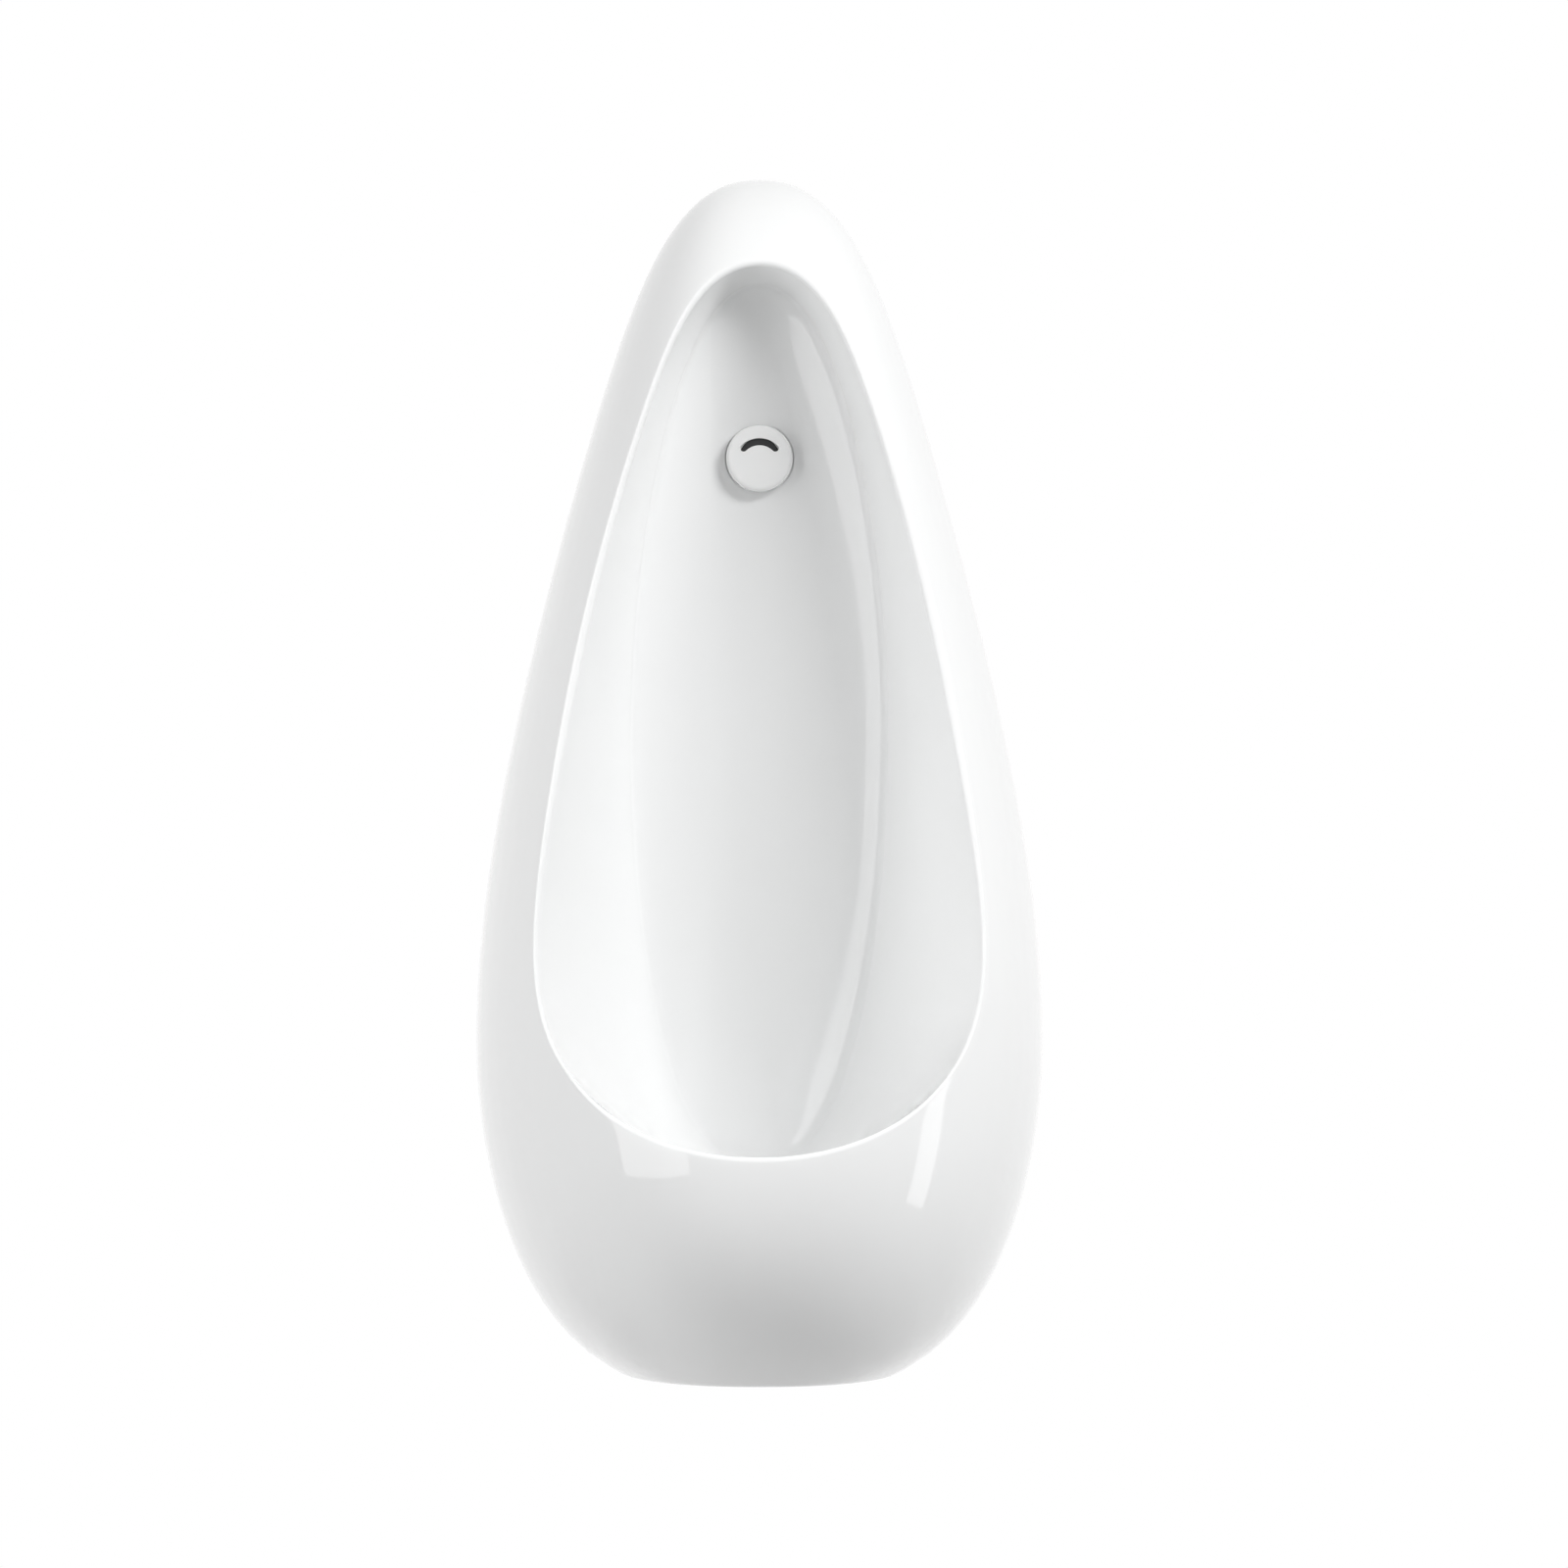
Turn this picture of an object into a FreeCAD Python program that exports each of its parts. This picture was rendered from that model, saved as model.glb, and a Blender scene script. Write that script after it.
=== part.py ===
"""Wall hung urinal: a glazed china bowl on two wall hooks, with its flush spreader, waste and trap.

All sizes are millimetres. The shape is written in three real measures: x across, depth out from
the wall, and height above the flat base edge. The model's own frame has its origin on the wall
plane at the line that the hooks carry, +Z up, and the front facing -Y.
"""
import FreeCAD, Part
import math
import os

# Overall shell
TALL = 700.0
HANG_LINE = 585.0
HALF_WIDE = 166.7
WIDEST_AT = 192.5
REACH = 312.0
REACH_AT = 212.0
UNDERCUT_AT = 150.0
SUPER = 2.3
WALL_RUN_ON = 6.0
BASE_RUN_ON = 4.0
CHINA = 12.0
FOOT_EXTRA = 10.0
FOOT_TALL = 30.0
HOLLOW_TOP = 680.0
EGG_RINGS = 36
EGG_RAYS = 24

# Bowl
RIM_MID = 390.1
RIM_HALF_TALL = 254.8
RIM_WIDTHS = (109.18, -49.26, 36.17, -36.31, 12.18, 26.2)
RIM_ROUND = 3.0
BACK_DEPTH = 52.0
BACK_MID = 380.0
BACK_HALF_TALL = 252.0
BACK_HALF_WIDE = 70.0
TROUGH_WIDE = 60.0
TROUGH_DEEP = 12.0
CORNER_EASE = 0.14
BOWL_SKIN = 10.0
SUMP_DROP = 22.0
SUMP_SPREAD = 0.45
BOWL_FRONT = 345.0
BOWL_RAYS = 48
TROUGH_STEPS = (0, 0.15, 0.3, 0.45, 0.6, 0.75, 0.88, 1.0, 1.12, 1.3)
WALL_RINGS = 9

# Back flange, hanger bar and lower screw ears
FLANGE_THICK = 16.0
FLANGE_WIDE = 24.0
BAR_LOW = 589.5
EAR_X = 90.0
EAR_UP = 50.0
EAR_R = 22.0
EAR_HOLE_R = 6.0

# Flush spreader and supply
FLUSH_UP = 534.0
FLUSH_HOLE_R = 12.0
CAP_R = 19.5
CAP_SEAT_R = 20.3
CAP_SLOT_R = 11.5
CAP_SLOT_HALF = 1.9
CAP_SLOT_ANGLE = 48.0
TAIL_R = 10.4
TAIL_END = 14.5
SUPPLY_R = 9.3
SUPPLY_DEEP = 12.0
COUPLING_FRONT = 30.0
COUPLING_BACK = 1.0

# Waste and trap
DRAIN_OUT = 150.0
SEAT_UP = 105.0
SEAT_R = 33.0
SUMP_UNDER = 95.0
BOSS_R = 37.0
DRAIN_HOLE_R = 23.0
WASTE_R = 20.9
WASTE_BORE_R = 17.6
WASTE_END = 79.5
TRAP_R = 35.0
TRAP_TOP = 72.0
OUTLET_UP = 52.0
OUTLET_R = 16.0
OUTLET_BORE_R = 14.0
DRAIN_PIPE_R = 20.0
DIP_R = 17.0
DIP_END = 13.0
CUP_R = 38.0
CUP_TOP = 30.0
CUP_FLOOR = 4.0
NECK_R = 34.0
THREAD_GAP = 0.05

# Wall hooks
HOOK_X = 42.0
HOOK_WIDE = 26.0
HOOK_THICK = 3.0
HOOK_LOW = 535.0
HOOK_OUT = 28.0
HOOK_TIP = 599.0
HOOK_SCREW_R = 3.5
HOOK_SCREWS_UP = (545.0, 570.0)
PAD_THICK = 1.5

OVERCUT = 1.0


def at(x, depth, height):
    """A point from across, out from the wall, and above the base edge."""
    return FreeCAD.Vector(x, -depth, height - HANG_LINE)


# Outer egg

def half_width(height):
    """Half width of the outer egg against the wall at a height."""
    if height >= WIDEST_AT:
        t = min(1.0, (height - WIDEST_AT) / (TALL - WIDEST_AT))
        taper = 1 - 0.6945 * (math.hypot(t, 0.318) - 0.318) - 0.1806 * t ** 2
        return HALF_WIDE * (1 - t ** 16.9) ** 0.431 * taper
    t = (WIDEST_AT - height) / 205.0
    return HALF_WIDE * (1 - t ** 1.9) ** 0.315


def reach(height):
    """How far the outer egg stands out from the wall on its centreline, before the bowl is cut."""
    t = min(1.0, max(0.0, height - REACH_AT) / (TALL - REACH_AT))
    upper = (1 - t ** 9) ** 0.5 * (1 - 0.72 * (math.hypot(t, 0.12) - 0.12))
    t = max(0.0, UNDERCUT_AT - height) / 195.4
    return REACH * min(upper, (1 - t ** 2.4) ** 0.5)


def skin_depth(x, height):
    """Depth of the outer skin at a place across and up."""
    share = min(1.0, abs(x) / half_width(height))
    return reach(height) * (1 - share ** SUPER) ** (1 / SUPER)


def egg_section(height, inset):
    """Closed level section: a superellipse that runs straight on a little behind the wall plane."""
    wide = half_width(height) - inset
    out = reach(height) - inset
    points = [at(-wide, -WALL_RUN_ON, height)]
    for step in range(EGG_RAYS + 1):
        angle = math.pi * (step / EGG_RAYS - 0.5)
        across = math.sin(angle)
        forward = max(0.0, math.cos(angle))
        radius = (abs(across / wide) ** SUPER + (forward / out) ** SUPER) ** (-1 / SUPER)
        points.append(at(radius * across, radius * forward, height))
    points.append(at(wide, -WALL_RUN_ON, height))
    knots = [-0.05] + [step / EGG_RAYS for step in range(EGG_RAYS + 1)] + [1.05]
    front = Part.BSplineCurve()
    front.interpolate(Points=points, Parameters=knots)
    back = Part.LineSegment(points[-1], points[0])
    return Part.Wire([front.toShape(), back.toShape()])


def ring_heights(top):
    """Heights from just under the base to the top, close together at both ends."""
    span = top + BASE_RUN_ON
    return [top - span * (1 - math.cos(math.pi * step / EGG_RINGS)) / 2
            for step in range(1, EGG_RINGS + 1)]


def above_wall_and_base(shape, depth=0.0):
    """The share of a shape above the base edge and in front of a plane parallel to the wall."""
    room = Part.makeBox(500, 500, TALL + 50, at(-250, 500 + depth, 0))
    return shape.common(room)


def outer_egg():
    tip = Part.Vertex(at(0, 0, TALL))
    sections = [egg_section(height, 0) for height in ring_heights(TALL)]
    return above_wall_and_base(Part.makeLoft([tip] + sections, True, False))


def inner_egg():
    """The outer egg drawn in by the china's thickness, and by more at the foot."""
    sections = []
    for height in ring_heights(HOLLOW_TOP):
        foot = max(0.0, 1 - max(0.0, height) / FOOT_TALL)
        sections.append(egg_section(height, CHINA + FOOT_EXTRA * foot))
    sections.insert(0, egg_section(HOLLOW_TOP, CHINA))
    return above_wall_and_base(Part.makeLoft(sections, True, False), FLANGE_THICK)


# Bowl

def rim_point(angle):
    """Across and up on the bowl's opening; the angle is 0 at the top and pi at the lip."""
    lean = math.cos(angle)
    wide = sum(size * lean ** power for power, size in enumerate(RIM_WIDTHS))
    return math.sin(angle) * wide, RIM_MID + RIM_HALF_TALL * lean


def trough(out):
    """How far the back wall's edge is drawn in at a distance in front of it, as a share from 1 to 0.

    The back wall is a shallow trough, and its edge is eased into the side wall by a small round.
    """
    share = 1 - math.sqrt(max(0.0, out) / TROUGH_DEEP)
    ease = max(0.0, CORNER_EASE - abs(share)) / CORNER_EASE
    return max(share, 0.0) + ease ** 2 * CORNER_EASE / 4


def bowl_point(angle, depth, grow):
    """The bowl's wall: a leaf-shaped trough at the back, then straight out to the rim."""
    side = math.sin(angle)
    lean = math.cos(angle)
    rim_x, rim_up = rim_point(angle)
    rim_depth = skin_depth(rim_x, rim_up)
    corner = TROUGH_WIDE * trough(depth - BACK_DEPTH + grow)
    share = (depth - BACK_DEPTH) / (rim_depth - BACK_DEPTH)
    leaf_x = BACK_HALF_WIDE * side
    leaf_up = BACK_MID + BACK_HALF_TALL * lean
    up = leaf_up + (grow - corner) * lean + (rim_up - leaf_up) * share
    if lean < 0 and share > 0:
        up -= SUMP_DROP * (-lean) ** 3 * math.sin(math.pi * min(share, 1.25) ** 0.8)
        share = share ** (1 - SUMP_SPREAD * lean ** 4)
    x = leaf_x + (grow - corner) * side + (rim_x - leaf_x) * share
    return at(x, depth, up)


def bowl_section(depth, grow):
    points = [bowl_point(2 * math.pi * step / BOWL_RAYS, depth, grow) for step in range(BOWL_RAYS)]
    knots = [step / BOWL_RAYS for step in range(BOWL_RAYS + 1)]
    curve = Part.BSplineCurve()
    curve.interpolate(Points=points, PeriodicFlag=True, Parameters=knots)
    return Part.Wire([curve.toShape()])


def bowl_space(grow=0.0):
    """The room inside the bowl, or with grow, that room and the china skin around it."""
    back = BACK_DEPTH - grow
    depths = [back + TROUGH_DEEP * step ** 2 for step in TROUGH_STEPS]
    start = depths[-1]
    depths += [start + (BOWL_FRONT - start) * step / WALL_RINGS for step in range(1, WALL_RINGS + 1)]
    return Part.makeLoft([bowl_section(depth, grow) for depth in depths], True, False)


def along_depth(radius, x, height, near, far):
    """A cylinder square to the wall between two depths."""
    return Part.makeCylinder(radius, far - near, at(x, near, height), FreeCAD.Vector(0, -1, 0))


def upright(radius, low, high, depth=DRAIN_OUT):
    """A vertical cylinder on the centreline between two heights."""
    return Part.makeCylinder(radius, high - low, at(0, depth, low))


def tube_up(outer, inner, low, high):
    return upright(outer, low, high).cut(upright(inner, low - OVERCUT, high + OVERCUT))


def tube_out(outer, inner, height, near, far, x=0.0):
    hole = along_depth(inner, x, height, near - OVERCUT, far + OVERCUT)
    return along_depth(outer, x, height, near, far).cut(hole)


def hexagon_along(axis, flats, centre, length):
    """A hexagonal prism from a centre along an axis, with a flat-to-flat size."""
    corner_r = flats / math.sqrt(3)
    first = FreeCAD.Vector(1, 0, 0)
    second = axis.cross(first)
    corners = [centre + first * (corner_r * math.cos(math.pi / 3 * i))
               + second * (corner_r * math.sin(math.pi / 3 * i)) for i in range(7)]
    corners[6] = corners[0]
    return Part.Face(Part.makePolygon(corners)).extrude(axis * length)


def back_opening():
    """The window in the back flange, below the hanger bar, with the two screw ears left standing."""
    heights = [-OVERCUT + (BAR_LOW + OVERCUT) * step / 20 for step in range(21)]
    right = [at(half_width(height) - FLANGE_WIDE, -OVERCUT, height) for height in heights]
    left = [FreeCAD.Vector(-point.x, point.y, point.z) for point in reversed(right)]
    sides = []
    for run in (right, left):
        curve = Part.BSplineCurve()
        curve.interpolate(run)
        sides.append(curve.toShape())
    top = Part.LineSegment(right[-1], left[0]).toShape()
    low = Part.LineSegment(left[-1], right[0]).toShape()
    face = Part.Face(Part.Wire([sides[0], top, sides[1], low]))
    window = face.extrude(FreeCAD.Vector(0, -FLANGE_THICK - 2 * OVERCUT, 0))
    for x in (-EAR_X, EAR_X):
        window = window.cut(along_depth(EAR_R, x, EAR_UP, -3, FLANGE_THICK))
    return window


def hollow():
    """The space between the outer shell and the bowl, less the thick boss that carries the waste."""
    space = inner_egg().cut(bowl_space(BOWL_SKIN))
    boss = upright(BOSS_R, SUMP_UNDER, SUMP_UNDER + 30)
    return space.cut(boss).fuse(back_opening())


def casting():
    """The whole china: shell, bowl, rounded rim, flange and ears, with its holes."""
    shell = outer_egg().cut(bowl_space())
    rim = [edge for edge in shell.Edges if edge.BoundBox.YMax < -BACK_DEPTH - RIM_ROUND
           and edge.Length > 2 * RIM_HALF_TALL]
    shell = shell.makeFillet(RIM_ROUND, rim)
    shell = shell.cut(hollow())
    cuts = [along_depth(FLUSH_HOLE_R, 0, FLUSH_UP, BACK_DEPTH - BOWL_SKIN - 3, BACK_DEPTH + 3)]
    cuts.append(along_depth(CAP_SEAT_R, 0, FLUSH_UP, BACK_DEPTH, BACK_DEPTH + 6))
    cuts.append(upright(DRAIN_HOLE_R, SUMP_UNDER - OVERCUT, SEAT_UP + 8))
    cuts.append(upright(SEAT_R, SEAT_UP, SEAT_UP + 4))
    cuts.append(Part.makeCone(SEAT_R, SEAT_R + 14, 16, at(0, DRAIN_OUT, SEAT_UP + 4)))
    for x in (-EAR_X, EAR_X):
        cuts.append(along_depth(EAR_HOLE_R, x, EAR_UP, -OVERCUT, FLANGE_THICK + OVERCUT))
    return shell.cut(cuts)


# The china is one casting. It is kept as three simple open forms that meet face to face: the bowl
# with its rim and boss, the shell around it, and the flat back flange.

CASTING = casting()
FLANGE_SPLIT = FLANGE_THICK + 2.0
BOWL_ROOM = bowl_space(BOWL_SKIN + 10).fuse(upright(BOSS_R + 8, SUMP_UNDER - 7, SUMP_UNDER + 30))
AROUND_BOWL = CASTING.cut(BOWL_ROOM)


def china_bowl():
    return CASTING.common(BOWL_ROOM)


def china_shell():
    return above_wall_and_base(AROUND_BOWL, FLANGE_SPLIT)


def china_flange():
    slab = Part.makeBox(500, FLANGE_SPLIT, TALL + 50, at(-250, FLANGE_SPLIT, 0))
    return AROUND_BOWL.common(slab)


# Flush spreader

SEAL_FRONT = BACK_DEPTH + 1.5
PLATE_FRONT = SEAL_FRONT + 2.0
RING_FRONT = PLATE_FRONT + 1.0
NECK_FRONT = RING_FRONT + 4.0
CAP_FACE_BACK = NECK_FRONT + 1.5
CAP_FACE = CAP_FACE_BACK + 2.5
CHINA_BACK = BACK_DEPTH - BOWL_SKIN
NECK_THREAD_R = 12.0


def spreader_seal():
    return tube_out(17.0, TAIL_R + 0.3, FLUSH_UP, BACK_DEPTH, SEAL_FRONT)


def spreader_body():
    """Tail through the china, clamping plate, and a threaded neck for the cap."""
    solid = along_depth(TAIL_R, 0, FLUSH_UP, TAIL_END, SEAL_FRONT + 0.5)
    solid = solid.fuse(along_depth(17.0, 0, FLUSH_UP, SEAL_FRONT, PLATE_FRONT))
    solid = solid.fuse(along_depth(NECK_THREAD_R, 0, FLUSH_UP, PLATE_FRONT, NECK_FRONT))
    return solid.cut(along_depth(6.0, 0, FLUSH_UP, TAIL_END - OVERCUT, NECK_FRONT + OVERCUT))


def spreader_cap_ring():
    return tube_out(16.5, NECK_THREAD_R + 0.3, FLUSH_UP, PLATE_FRONT, RING_FRONT)


def arc_slot():
    """A curved slot with round ends, concentric with the cap and centred above its middle."""
    wide = math.radians(CAP_SLOT_ANGLE)
    corners = []
    for radius in (CAP_SLOT_R + CAP_SLOT_HALF, CAP_SLOT_R - CAP_SLOT_HALF):
        corners.append([at(radius * math.sin(turn), CAP_FACE_BACK - 1, FLUSH_UP + radius * math.cos(turn))
                        for turn in (-wide, 0.0, wide)])
    outer, inner = corners
    edges = [Part.Arc(*outer).toShape()]
    ends = []
    for side, turn in ((2, wide), (0, -wide)):
        past = turn + math.copysign(CAP_SLOT_HALF / CAP_SLOT_R, turn)
        far = at(CAP_SLOT_R * math.sin(past), CAP_FACE_BACK - 1, FLUSH_UP + CAP_SLOT_R * math.cos(past))
        ends.append(Part.Arc(outer[side], far, inner[side]).toShape())
    edges.append(ends[0])
    edges.append(Part.Arc(*inner).toShape())
    edges.append(ends[1])
    face = Part.Face(Part.Wire(Part.__sortEdges__(edges)))
    return face.extrude(FreeCAD.Vector(0, -8, 0))


def spreader_cap():
    """Round cap: rounded face, skirt over the clamping plate, threaded bore and outlet chamber."""
    solid = along_depth(CAP_R, 0, FLUSH_UP, BACK_DEPTH + 1.0, CAP_FACE)
    front = [edge for edge in solid.Edges if abs(edge.BoundBox.YMax + CAP_FACE) < 0.01
             and edge.BoundBox.YLength < 0.01]
    solid = solid.makeFillet(3.0, front)
    solid = solid.cut(along_depth(17.4, 0, FLUSH_UP, BACK_DEPTH, RING_FRONT))
    solid = solid.cut(along_depth(NECK_THREAD_R + THREAD_GAP, 0, FLUSH_UP, BACK_DEPTH, NECK_FRONT))
    solid = solid.cut(along_depth(14.5, 0, FLUSH_UP, NECK_FRONT, CAP_FACE_BACK))
    return solid.cut(arc_slot())


def spreader_gasket():
    return tube_out(15.5, TAIL_R + 0.2, FLUSH_UP, CHINA_BACK - 2.0, CHINA_BACK)


def spreader_washer():
    return tube_out(15.0, TAIL_R + 0.2, FLUSH_UP, CHINA_BACK - 3.2, CHINA_BACK - 2.0)


def spreader_backnut():
    back = CHINA_BACK - 3.2
    nut = hexagon_along(FreeCAD.Vector(0, 1, 0), 27.0, at(0, back, FLUSH_UP), 7.0)
    return nut.cut(along_depth(TAIL_R + THREAD_GAP, 0, FLUSH_UP, 20, back + OVERCUT))


def inlet_washer():
    return tube_out(SUPPLY_R + 1.1, 6.5, FLUSH_UP, TAIL_END - 1.5, TAIL_END)


def inlet_coupling():
    """Socket with a hexagon in the middle: the spreader's tail in front, the supply pipe behind."""
    solid = along_depth(13.0, 0, FLUSH_UP, COUPLING_BACK, COUPLING_FRONT)
    collar = hexagon_along(FreeCAD.Vector(0, -1, 0), 30.0, at(0, 10.0, FLUSH_UP), 12.0)
    solid = solid.fuse(collar)
    seat = COUPLING_BACK + SUPPLY_DEEP
    solid = solid.cut(along_depth(SUPPLY_R, 0, FLUSH_UP, 0, seat + OVERCUT))
    return solid.cut(along_depth(TAIL_R + THREAD_GAP, 0, FLUSH_UP, seat, COUPLING_FRONT + OVERCUT))


# Waste

FLANGE_LOW = SEAT_UP + 1.5
LEDGE_UP = FLANGE_LOW + 1.2
GASKET_LOW = SUMP_UNDER - 2.5
SLIP_LOW = GASKET_LOW - 1.0
BACKNUT_LOW = SLIP_LOW - 7.0


def waste_flange_seal():
    return tube_up(31.0, 24.0, SEAT_UP, FLANGE_LOW)


def waste_flange():
    """Flange with a recess for the strainer, over a threaded tail."""
    solid = upright(32.0, FLANGE_LOW, FLANGE_LOW + 2.5)
    rounded = [edge for edge in solid.Edges if abs(edge.BoundBox.ZMin + HANG_LINE - FLANGE_LOW - 2.5) < 0.01
               and edge.BoundBox.ZLength < 0.01]
    solid = solid.makeFillet(1.2, rounded)
    solid = solid.fuse(upright(WASTE_R, WASTE_END, FLANGE_LOW + 0.5))
    solid = solid.cut(upright(29.0, LEDGE_UP, FLANGE_LOW + 4))
    return solid.cut(upright(WASTE_BORE_R, WASTE_END - OVERCUT, LEDGE_UP + OVERCUT))


def waste_strainer():
    """Flat grating with rings of round holes and a short skirt that centres it in the waste."""
    grate = upright(28.6, LEDGE_UP, LEDGE_UP + 2.0)
    skirt = tube_up(17.2, 15.4, LEDGE_UP - 8, LEDGE_UP + 0.5)
    holes = [upright(2.6, LEDGE_UP - OVERCUT, LEDGE_UP + 3)]
    for radius, count in ((8.0, 6), (13.0, 10)):
        for index in range(count):
            turn = 2 * math.pi * index / count
            foot = at(radius * math.sin(turn), DRAIN_OUT + radius * math.cos(turn), LEDGE_UP - OVERCUT)
            holes.append(Part.makeCylinder(1.9, 4, foot))
    return grate.cut(holes).fuse(skirt)


def waste_gasket():
    return tube_up(33.0, WASTE_R + 0.3, GASKET_LOW, SUMP_UNDER)


def waste_washer():
    return tube_up(31.0, WASTE_R + 0.3, SLIP_LOW, GASKET_LOW)


def waste_backnut():
    nut = hexagon_along(FreeCAD.Vector(0, 0, 1), 54.0, at(0, DRAIN_OUT, BACKNUT_LOW), 7.0)
    return nut.cut(upright(WASTE_R + THREAD_GAP, BACKNUT_LOW - OVERCUT, SLIP_LOW + OVERCUT))


# Trap

WASHER_LOW = WASTE_END - 2.0
FLARE_LOW = WASHER_LOW - 2.0
UNION_LOW = FLARE_LOW - 2.5
UNION_TOP = BACKNUT_LOW - 1.0


def ribbed(radius, low, high, count, rib_r):
    """A round grip with upright ribs."""
    solid = upright(radius, low, high)
    ribs = []
    for index in range(count):
        turn = 2 * math.pi * index / count
        foot = at(radius * math.sin(turn), DRAIN_OUT + radius * math.cos(turn), low)
        ribs.append(Part.makeCylinder(rib_r, high - low, foot))
    return solid.fuse(ribs)


def trap_inlet_washer():
    return tube_up(WASTE_R - 0.1, WASTE_BORE_R, WASHER_LOW, WASTE_END)


def trap_dip_tube():
    solid = upright(WASTE_R - 0.1, FLARE_LOW, WASHER_LOW).fuse(upright(DIP_R, DIP_END, FLARE_LOW + 0.5))
    return solid.cut(upright(DIP_R - 2.0, DIP_END - OVERCUT, WASHER_LOW + OVERCUT))


def trap_inlet_nut():
    solid = ribbed(26.0, UNION_LOW, UNION_TOP, 12, 1.6)
    solid = solid.cut(upright(DIP_R + 0.3, UNION_LOW - OVERCUT, FLARE_LOW + OVERCUT))
    return solid.cut(upright(WASTE_R + THREAD_GAP, FLARE_LOW, UNION_TOP + OVERCUT))


def trap_body():
    """Housing with a closed top, a shoulder over a threaded neck, and the side outlet stub."""
    solid = upright(TRAP_R, CUP_TOP + 3, TRAP_TOP)
    solid = solid.fuse(upright(38.5, CUP_TOP + 2, CUP_TOP + 4))
    solid = solid.fuse(upright(NECK_R, CUP_TOP - 10, CUP_TOP + 2))
    solid = solid.fuse(along_depth(19.0, 0, OUTLET_UP, 98, DRAIN_OUT))
    solid = solid.cut(upright(NECK_R - 2.5, CUP_TOP - 12, TRAP_TOP - 3))
    solid = solid.cut(upright(DIP_R + THREAD_GAP, TRAP_TOP - 5, TRAP_TOP + OVERCUT))
    return solid.cut(along_depth(OUTLET_R + THREAD_GAP, 0, OUTLET_UP, 97, 122))


def trap_cup_seal():
    return tube_up(37.6, NECK_R + 0.3, CUP_TOP, CUP_TOP + 2)


def trap_cup():
    """Screw-off cup with a rounded foot and grip ribs."""
    solid = ribbed(CUP_R, CUP_FLOOR + 4, CUP_TOP, 16, 1.2)
    foot = upright(CUP_R, CUP_FLOOR, CUP_FLOOR + 4)
    low = [edge for edge in foot.Edges if abs(edge.BoundBox.ZMax + HANG_LINE - CUP_FLOOR) < 0.01]
    solid = solid.fuse(foot.makeFillet(3.0, low))
    solid = solid.cut(upright(NECK_R + THREAD_GAP, CUP_TOP - 11, CUP_TOP + OVERCUT))
    return solid.cut(upright(NECK_R - 1.0, CUP_FLOOR + 3, CUP_TOP))


def trap_outlet_washer():
    return tube_out(18.8, OUTLET_R + 0.05, OUTLET_UP, 94.5, 98)


def trap_outlet_nut():
    solid = along_depth(23.0, 0, OUTLET_UP, 90, 108)
    ribs = []
    for index in range(12):
        turn = 2 * math.pi * index / 12
        ribs.append(along_depth(1.5, 23.0 * math.sin(turn), OUTLET_UP + 23.0 * math.cos(turn), 90, 108))
    solid = solid.fuse(ribs)
    solid = solid.cut(along_depth(OUTLET_R + 0.3, 0, OUTLET_UP, 89, 95))
    return solid.cut(along_depth(19.05, 0, OUTLET_UP, 94.5, 109))


def trap_outlet_tube():
    return tube_out(OUTLET_R, OUTLET_BORE_R, OUTLET_UP, 29, 118)


def outlet_socket():
    """Adapter: takes the 32 mm tube in front and the 40 mm drain pipe from the wall side."""
    solid = along_depth(24.5, 0, OUTLET_UP, 0, 29)
    solid = solid.fuse(along_depth(20.5, 0, OUTLET_UP, 27, 44))
    solid = solid.cut(along_depth(DRAIN_PIPE_R, 0, OUTLET_UP, -OVERCUT, 26))
    solid = solid.cut(along_depth(OUTLET_BORE_R, 0, OUTLET_UP, 25, 30))
    return solid.cut(along_depth(OUTLET_R + THREAD_GAP, 0, OUTLET_UP, 29, 45))


# Wall hooks and screw sleeves

def hook(x):
    """Pressed steel hook: screw plate on the wall, tongue under the bar, tip up behind it."""
    tongue_low = BAR_LOW - PAD_THICK - HOOK_THICK
    side = [(0, HOOK_LOW), (HOOK_THICK, HOOK_LOW), (HOOK_THICK, tongue_low), (HOOK_OUT, tongue_low),
            (HOOK_OUT, HOOK_TIP), (HOOK_OUT - HOOK_THICK, HOOK_TIP),
            (HOOK_OUT - HOOK_THICK, tongue_low + HOOK_THICK), (0, tongue_low + HOOK_THICK)]
    corners = [at(x - HOOK_WIDE / 2, depth, height) for depth, height in side]
    profile = Part.Face(Part.makePolygon(corners + corners[:1]))
    solid = profile.extrude(FreeCAD.Vector(HOOK_WIDE, 0, 0))
    for height in HOOK_SCREWS_UP:
        solid = solid.cut(along_depth(HOOK_SCREW_R, x, height, -OVERCUT, HOOK_THICK + OVERCUT))
    return solid


def hook_pad(x):
    """Plastic channel that clips over the tongue, under the china."""
    top = BAR_LOW
    wide = HOOK_WIDE + 2.4
    pad = Part.makeBox(wide, 20, PAD_THICK + HOOK_THICK, at(x - wide / 2, 24, top - PAD_THICK - HOOK_THICK))
    room = Part.makeBox(HOOK_WIDE, 30, HOOK_THICK, at(x - HOOK_WIDE / 2, 28, top - PAD_THICK - HOOK_THICK))
    return pad.cut(room)


def fixing_sleeve(x):
    solid = along_depth(EAR_HOLE_R, x, EAR_UP, 0.5, FLANGE_THICK)
    solid = solid.fuse(along_depth(10.0, x, EAR_UP, FLANGE_THICK, FLANGE_THICK + 2))
    return solid.cut(along_depth(4.2, x, EAR_UP, 0, FLANGE_THICK + 3))


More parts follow.
